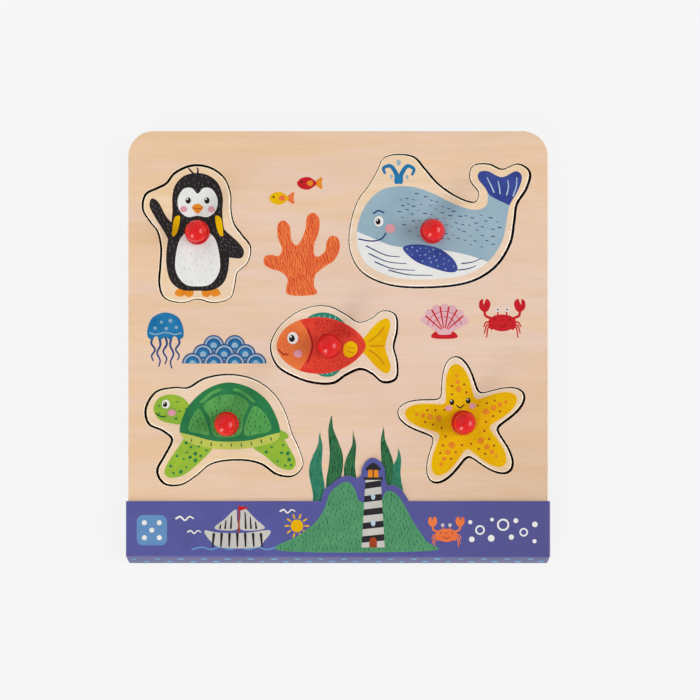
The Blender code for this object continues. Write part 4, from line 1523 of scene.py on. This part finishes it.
def print_kelp(pen):
    back = [kelp_blade(-11.0, -50, 1.6, 6.4), kelp_blade(31.5, -58, 1.4, 5.6)]
    places = ((-2.2, -40, -1.9, 6.8), (7.2, -50, 1.6, 5.6), (25.4, -47, -1.5, 6.2))
    front = [kelp_blade(*place) for place in places]
    pen.lay("teal", *back)
    pen.lay("kelp", *front)
    for seed, blade in enumerate(back + front, 51):
        pen.strew("kelp line", inside(blade, 0.7), "kelp veins", seed)


def print_recess_floor(pen, name, dark):
    """A recess's printed floor: a dark ground, the piece's hue darkened as painted shade of the deep gap,
    ticks round its edge that are partly painted glints in the gap, and the figure's dashed outline.
    """
    pen.draw_at((0.0, 0.0), 1.0)
    pen.lay(dark, grown(recess_loop(name), -GROUND_GAP))
    pen.draw_at(recess_middle(name), MM)
    pen.layer = 1
    # The ticks reach across the outline into the gap round the piece: print, and partly painted glints in
    # that gap.
    for marks, seed, distance in (("floor stitches", 61, -STITCH_INSET), ("floor ticks", 62, GLINT_TICK_OUTSET)):
        line = [(x / MM, y / MM) for x, y in grown(piece_loop(name), distance)]
        pen.string("cream", line, marks, seed, closed=True)


def upright(x, low, high, low_half, high_half):
    """A four-sided shape about an upright line, from half its width below to half its width above."""
    return [(x - low_half, low), (x + low_half, low), (x + high_half, high), (x - high_half, high)]


def lighthouse():
    """The outlines of a banded tower with a gallery, a lantern, a roof, windows and a door."""
    x, foot, top = 18.8, -110.5, -74.2
    foot_half, narrowing = 6.2, 2.1
    first_band, band_spacing, band_height, band_rise = -108.0, 7.2, 3.4, 1.2
    gallery_top, lantern_top = -73.0, -69.0

    def half(y):
        return foot_half - narrowing * (y - foot) / (top - foot)

    bands = []
    for k in range(5):
        low = first_band + band_spacing * k
        high = low + band_height
        corners = ((-1, low), (1, low + band_rise), (1, high + band_rise), (-1, high))
        bands.append([(x + side * half(y), y) for side, y in corners])
    roof = ((-3.8, -69.2), (3.8, -69.2), (2.6, -66.8), (0, -65.2), (-2.6, -66.8))
    return {
        "tower": upright(x, foot, top, half(foot), half(top)),
        "bands": bands,
        "gallery": upright(x, -74.4, gallery_top, 4.9, 5.1),
        "lantern": upright(x, gallery_top, lantern_top, 2.9, 2.6),
        "bar": upright(x, gallery_top, lantern_top, 0.3, 0.3),
        "roof": curve_through([(x + aside, y) for aside, y in roof]),
        "windows": dots((x, -83.4, 1.1, 1.6), (x, -97.4, 1.2, 1.7)),
        "door": arc(x, -107.4, 2.0, 2.4, 0, 180, 12) + [(x - 2.0, foot), (x + 2.0, foot)],
    }


def boat():
    """The outlines of a sailing boat: its pale hull and sails, its dark stripes, a mast and a pennant."""
    hull = curve_through((
        (-71.5, -101.6), (-68, -107.4), (-62, -110.6), (-44, -110.6), (-39.5, -107), (-36.5, -101.4),
        (-50, -102.8), (-64, -102.6),
    ))
    main_sail = curve_through((
        (-51.8, -101.0), (-39.4, -100.4), (-44.2, -95.2), (-51.4, -88.4), (-52.2, -94),
    ))
    fore_sail = curve_through((
        (-54.4, -101.0), (-54.2, -95), (-54.8, -90.2), (-60.4, -95), (-66.0, -100.4),
    ))
    stripes = []
    for x in (-66.5, -62.3, -58.1, -53.9, -49.7, -45.5, -41.3):
        stripes.append(brush(((x, -103.4), (x + 0.05 * (x + 54), -110.0)), 1.5, 0.8))
    for x, top in ((-49.4, -91.8), (-46.6, -94.4), (-43.8, -97.0)):
        stripes.append(brush(((x, -100.2), (x - 0.4, top)), 1.1, 0.6))
    for x, top in ((-57.4, -93.8), (-60.4, -96.2), (-63.2, -98.4)):
        stripes.append(brush(((x, -100.2), (x + 0.4, top)), 1.1, 0.6))
    return {
        "pale": [hull, main_sail, fore_sail],
        "stripes": stripes,
        "mast": [(-53.6, -102.6), (-52.6, -102.6), (-52.8, -88.0), (-53.4, -88.0)],
        "pennant": [(-53.2, -91.0), (-47.6, -89.4), (-53.2, -88.2)],
    }


def sun():
    x, y, rays = -22.0, -99.0, 10
    outlines = [oval(x, y, 3.4)]
    for k in range(rays):
        angle = 2 * math.pi * k / rays
        ends = [(x + radius * math.cos(angle), y + radius * math.sin(angle)) for radius in (4.4, 6.2)]
        outlines.append(brush(ends, 0.9))
    return outlines


def gulls():
    wings = ((-4.6, 1.0), (-2.4, 2.0), (0, 0), (2.4, 2.0), (4.6, 1.0))
    outlines = []
    for x, y, size in ((-82, -96, 1.0), (-77, -103, 0.75), (-27, -92, 0.85)):
        knots = [(x + size * across, y + size * up) for across, up in wings]
        outlines.append(brush(knots, 1.1 * size, 0.7 * size))
    return outlines


def print_sleeve_front(pen):
    """A dune with a lighthouse, a boat, a sun and gulls, in millimetres from the board's middle."""
    dune = curve_through((
        (-30, -112.4), (48.5, -112.4), (47, -107), (41, -98), (36.6, -90), (33, -84), (29, -80.6),
        (25.5, -80.8), (22, -86), (12, -86), (9, -79.4), (5.4, -75.4), (0.6, -77), (-4.4, -81.6),
        (-7, -89), (-12, -97), (-21, -104),
    ))
    ripple = brush([(-78 + 5 * i, -111.6 + 1.2 * (i % 2)) for i in range(10)], 0.9)
    light = lighthouse()
    sailing = boat()
    pen.lay("badge blue", ripple)
    pen.lay("yellow", *sun())
    pen.lay("dune green", dune)
    pen.strew("dune line", inside(dune, 1.3), "dune grass", 71)
    pen.lay("light grey", light["tower"], *sailing["pale"])
    pen.lay("dark band", light["gallery"], light["roof"], *light["bands"], *sailing["stripes"])
    pen.lay("amber", light["lantern"])
    pen.lay("dark band", light["bar"])
    pen.lay("sky", *light["windows"])
    pen.lay("rust", light["door"], sailing["mast"])
    pen.lay("red", sailing["pennant"])
    pen.lay("white", *gulls())


def print_badge(pen):
    """A light blue badge with five plain dots."""
    pen.lay("badge blue", rounded_square(0, 0, 8.1, 8.1, 3.4, 8))
    pen.lay("white", *[oval(x, y, 1.35) for x, y in ((0, 0), (-4, 4), (4, 4), (-4, -4), (4, -4))])


def print_bubbles(pen):
    """Rings and small dots, in millimetres from the board's middle."""
    rings = ((76.0, -101.2, 2.6, 1.7), (88.4, -98.4, 3.3, 2.3), (99.4, -102.4, 2.3, 1.45))
    outer = dots(*[(x, y, radius) for x, y, radius, _ in rings])
    small = dots(
        (70.8, -97.0, 1.1), (71.6, -106.2, 1.5), (82.0, -105.6, 1.8), (82.4, -95.6, 1.0),
        (92.8, -105.0, 1.4), (95.2, -96.2, 1.3), (105.4, -98.2, 1.5), (105.2, -107.2, 1.1),
    )
    pen.lay("white", *outer, *small)
    pen.lay("sleeve violet", *dots(*[(x, y, hole) for x, y, _, hole in rings]))


def print_strip_dashes(pen, front_fold, back_fold):
    """Two staggered rows of light dashes on the slanted lower panel."""
    drop = SLEEVE_HIGH.z
    run = front_fold - back_fold
    for row, (down, offset) in enumerate(((0.3, 0.0), (0.7, DASH_SPACING / 2))):
        y = front_fold - down * run
        z = drop - down * drop
        start = SLEEVE_LOW.x + STRIP_MARGIN + offset
        end = SLEEVE_HIGH.x - STRIP_MARGIN - DASH_SPACING / 2 + offset
        values = pen.mark_values("dash blue", "strip dashes", 80 + row)
        values["Sides"] = DASH_SIDES
        values["Height"] = DASH_HEIGHT
        values["Tilt"] = math.atan2(drop, run)
        pen.take("dash blue", grow_marks(IN_A_ROW, [(start, y, z), (end, y, z)], [(0, 1)], [], values))


def print_motifs(pen, motifs):
    """Draws each motif at its place, in millimetres from the board's middle, and at its scale."""
    for x, y, scale, draw, choices in motifs:
        pen.draw_at((BOARD_MIDDLE.x + MM * x, BOARD_MIDDLE.y + MM * y), scale * MM)
        draw(pen, *choices)


def print_board():
    pen = Print(BOARD_HIGH.z)
    print_motifs(pen, (
        (-19.5, 25.0, 1.0, print_coral, ()),
        (-31.0, 76.5, 1.0, print_small_fish, ("yellow", "orange")),
        (-16.0, 84.5, 1.0, print_small_fish, ("red", "amber")),
        (-92.5, 2.5, 1.0, print_jellyfish, ()),
        (-61.0, -12.0, 1.0, print_waves, ()),
        (57.0, 3.5, 1.0, print_scallop, ()),
        (88.0, 9.0, 1.0, print_crab, ("red", "deep red")),
        (0.0, 0.0, 1.0, print_kelp, ()),
    ))
    pen.done("board_print", "board")


def print_floors():
    pen = Print(BACKING_HIGH.z)
    # Each ground is the piece's hue made dark: partly the printed floor, partly painted shade of the deep
    # gap.
    shaded_grounds = {
        "whale": "floor navy", "penguin": "floor black", "fish": "floor maroon",
        "turtle": "floor green", "starfish": "floor brown",
    }
    for name, ground in shaded_grounds.items():
        print_recess_floor(pen, name, ground)
    pen.done("recess_floor_print", "board")


def print_figures():
    drawings = {
        "whale": print_whale, "penguin": print_penguin, "fish": print_fish,
        "turtle": print_turtle, "starfish": print_starfish,
    }
    for name, draw in drawings.items():
        pen = Print(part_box(name + "_piece")[1].z)
        pen.draw_at(knob_place(name), UNIT)
        draw(pen)
        pen.done(name + "_print", name)


def print_sleeve(front_fold, back_fold):
    pen = Print(SLEEVE_HIGH.z)
    print_motifs(pen, (
        (0.0, 0.0, 1.0, print_sleeve_front, ()),
        (0.0, 0.0, 1.0, print_bubbles, ()),
        (-99.7, -101.3, 1.0, print_badge, ()),
        (58.0, -104.6, 0.78, print_crab, ("orange", "rust")),
        (0.0, 0.0, 1.0, print_strip_dashes, (front_fold, back_fold)),
    ))
    pen.done("sleeve_print", "sleeve")


# Stage.


def softbox(name, direction, distance, width, height, radiance, glints):
    """A flat lamp that faces the board from a direction."""
    lamp = bpy.data.lights.new(name, "AREA")
    lamp.shape = "RECTANGLE"
    lamp.size = width
    lamp.size_y = height
    lamp.energy = radiance * math.pi * width * height
    made = linked(name, lamp)
    away = Vector(direction).normalized()
    made.location = Vector((BOARD_MIDDLE.x, BOARD_MIDDLE.y, BOARD_HIGH.z)) + distance * away
    made.rotation_euler = away.to_track_quat("Z", "Y").to_euler()
    made.visible_glossy = glints


def seen_share(tree):
    """1 for what the camera sees, straight on, in a gloss or through something clear, and otherwise 0."""
    path = add(tree, "ShaderNodeLightPath").outputs
    shown = arithmetic(tree, "MAXIMUM", path["Is Camera Ray"], path["Is Transmission Ray"])
    return arithmetic(tree, "MAXIMUM", shown, path["Is Glossy Ray"])


def build_world():
    world = bpy.data.worlds.new("studio")
    bpy.context.scene.world = world
    world.use_nodes = True
    tree = world.node_tree
    background = tree.nodes["Background"]
    background.inputs["Color"].default_value = (1.0, 1.0, 1.0, 1.0)
    strength = between(tree, seen_share(tree), *WHOLE, WORLD_LIGHT, BACKGROUND_LEVEL)
    tree.links.new(strength, background.inputs["Strength"])


def build_floor():
    """A plain pale floor that keeps a soft share of the object's shadow and fades into the background."""
    mesh = bpy.data.meshes.new("floor")
    corners = [(x * FLOOR_REACH, y * FLOOR_REACH, 0.0) for x, y in ((-1, -1), (1, -1), (1, 1), (-1, 1))]
    mesh.from_pydata(corners, [], [(0, 1, 2, 3)])
    floor = linked("floor", mesh)
    pale, tree, shader = finish("pale floor", STUDIO_FLOOR)
    level = (BACKGROUND_LEVEL, BACKGROUND_LEVEL, BACKGROUND_LEVEL, 1.0)
    shader.inputs["Base Color"].default_value = level
    glow = add(tree, "ShaderNodeEmission", {"Color": level, "Strength": 1.0}).outputs[0]
    away = measure(tree, "LENGTH", position(tree))
    glow_share = between(tree, away, SHADOW_REACH / 2, SHADOW_REACH, FLOOR_GLOW, 1.0)
    share = arithmetic(tree, "MULTIPLY", seen_share(tree), glow_share)
    mixed = add(tree, "ShaderNodeMixShader", {0: share, 1: shader.outputs[0], 2: glow}).outputs[0]
    tree.links.new(mixed, tree.nodes["Material Output"].inputs["Surface"])
    mesh.materials.append(pale)


def build_camera():
    camera = bpy.data.cameras.new("camera")
    camera.sensor_width = SENSOR
    camera.lens = SENSOR * CAMERA_HEIGHT / VIEW_WIDTH
    made = linked("camera", camera)
    made.location = (*VIEW_CENTRE, BOARD_HIGH.z + CAMERA_HEIGHT)
    bpy.context.scene.camera = made


def build_stage():
    bpy.context.scene.view_settings.view_transform = "Standard"
    build_world()
    build_floor()
    for name, values in LAMPS.items():
        softbox(name, *values)
    build_camera()


def build():
    board_top = veneer("board veneer", "board")
    back_wood = veneer("backing veneer", "backing", BACKING_SHIFT)
    board_edge = ply_edge("board ply edge", BACKING_LOW.z, "sawn")
    recess_wall = ply_edge("recess wall", BACKING_HIGH.z, "burnt")
    # The recesses' rounded rims: paler sanded wood, partly a painted highlight.
    sanded_and_highlit = veneer("sanded recess rim", "rim", STILL, SANDED_RIM)
    build_board(board_top, board_edge, recess_wall, sanded_and_highlit, back_wood)
    red = lacquer()
    pin_wood = beech()
    for number, name in enumerate(SHIFTS):
        shift = tuple(number * step for step in MARGIN_SHIFT)
        margin = veneer(name + " margin veneer", "margin", shift)
        # The piece's rounded rim: paler sanded wood, partly a painted highlight.
        rim = veneer(name + " sanded rim", "rim", shift, SANDED_RIM)
        edge = ply_edge(name + " ply edge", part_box(name + "_piece")[0].z, "sawn")
        build_piece(name, [margin, edge, back_wood, edge, rim, edge])
        build_knob(name, red)
        build_dowel(name, pin_wood)
    violet = card("violet card", VIOLET, COATED_CARD, VIOLET_SHADED_END)
    # The slanted panel's card: the front's violet retoned as painted light.
    strip = card("strip card", STRIP_VIOLET_AS_LIT, COATED_CARD)
    inner = card("inner card", CARD_WHITE, BARE_CARD)
    core = card("card core", CARD_WHITE, CARD_CORE)
    folds = build_sleeve([violet, strip, inner, inner, core, core])
    print_floors()
    print_board()
    print_figures()
    print_sleeve(*folds)
    build_stage()


build()
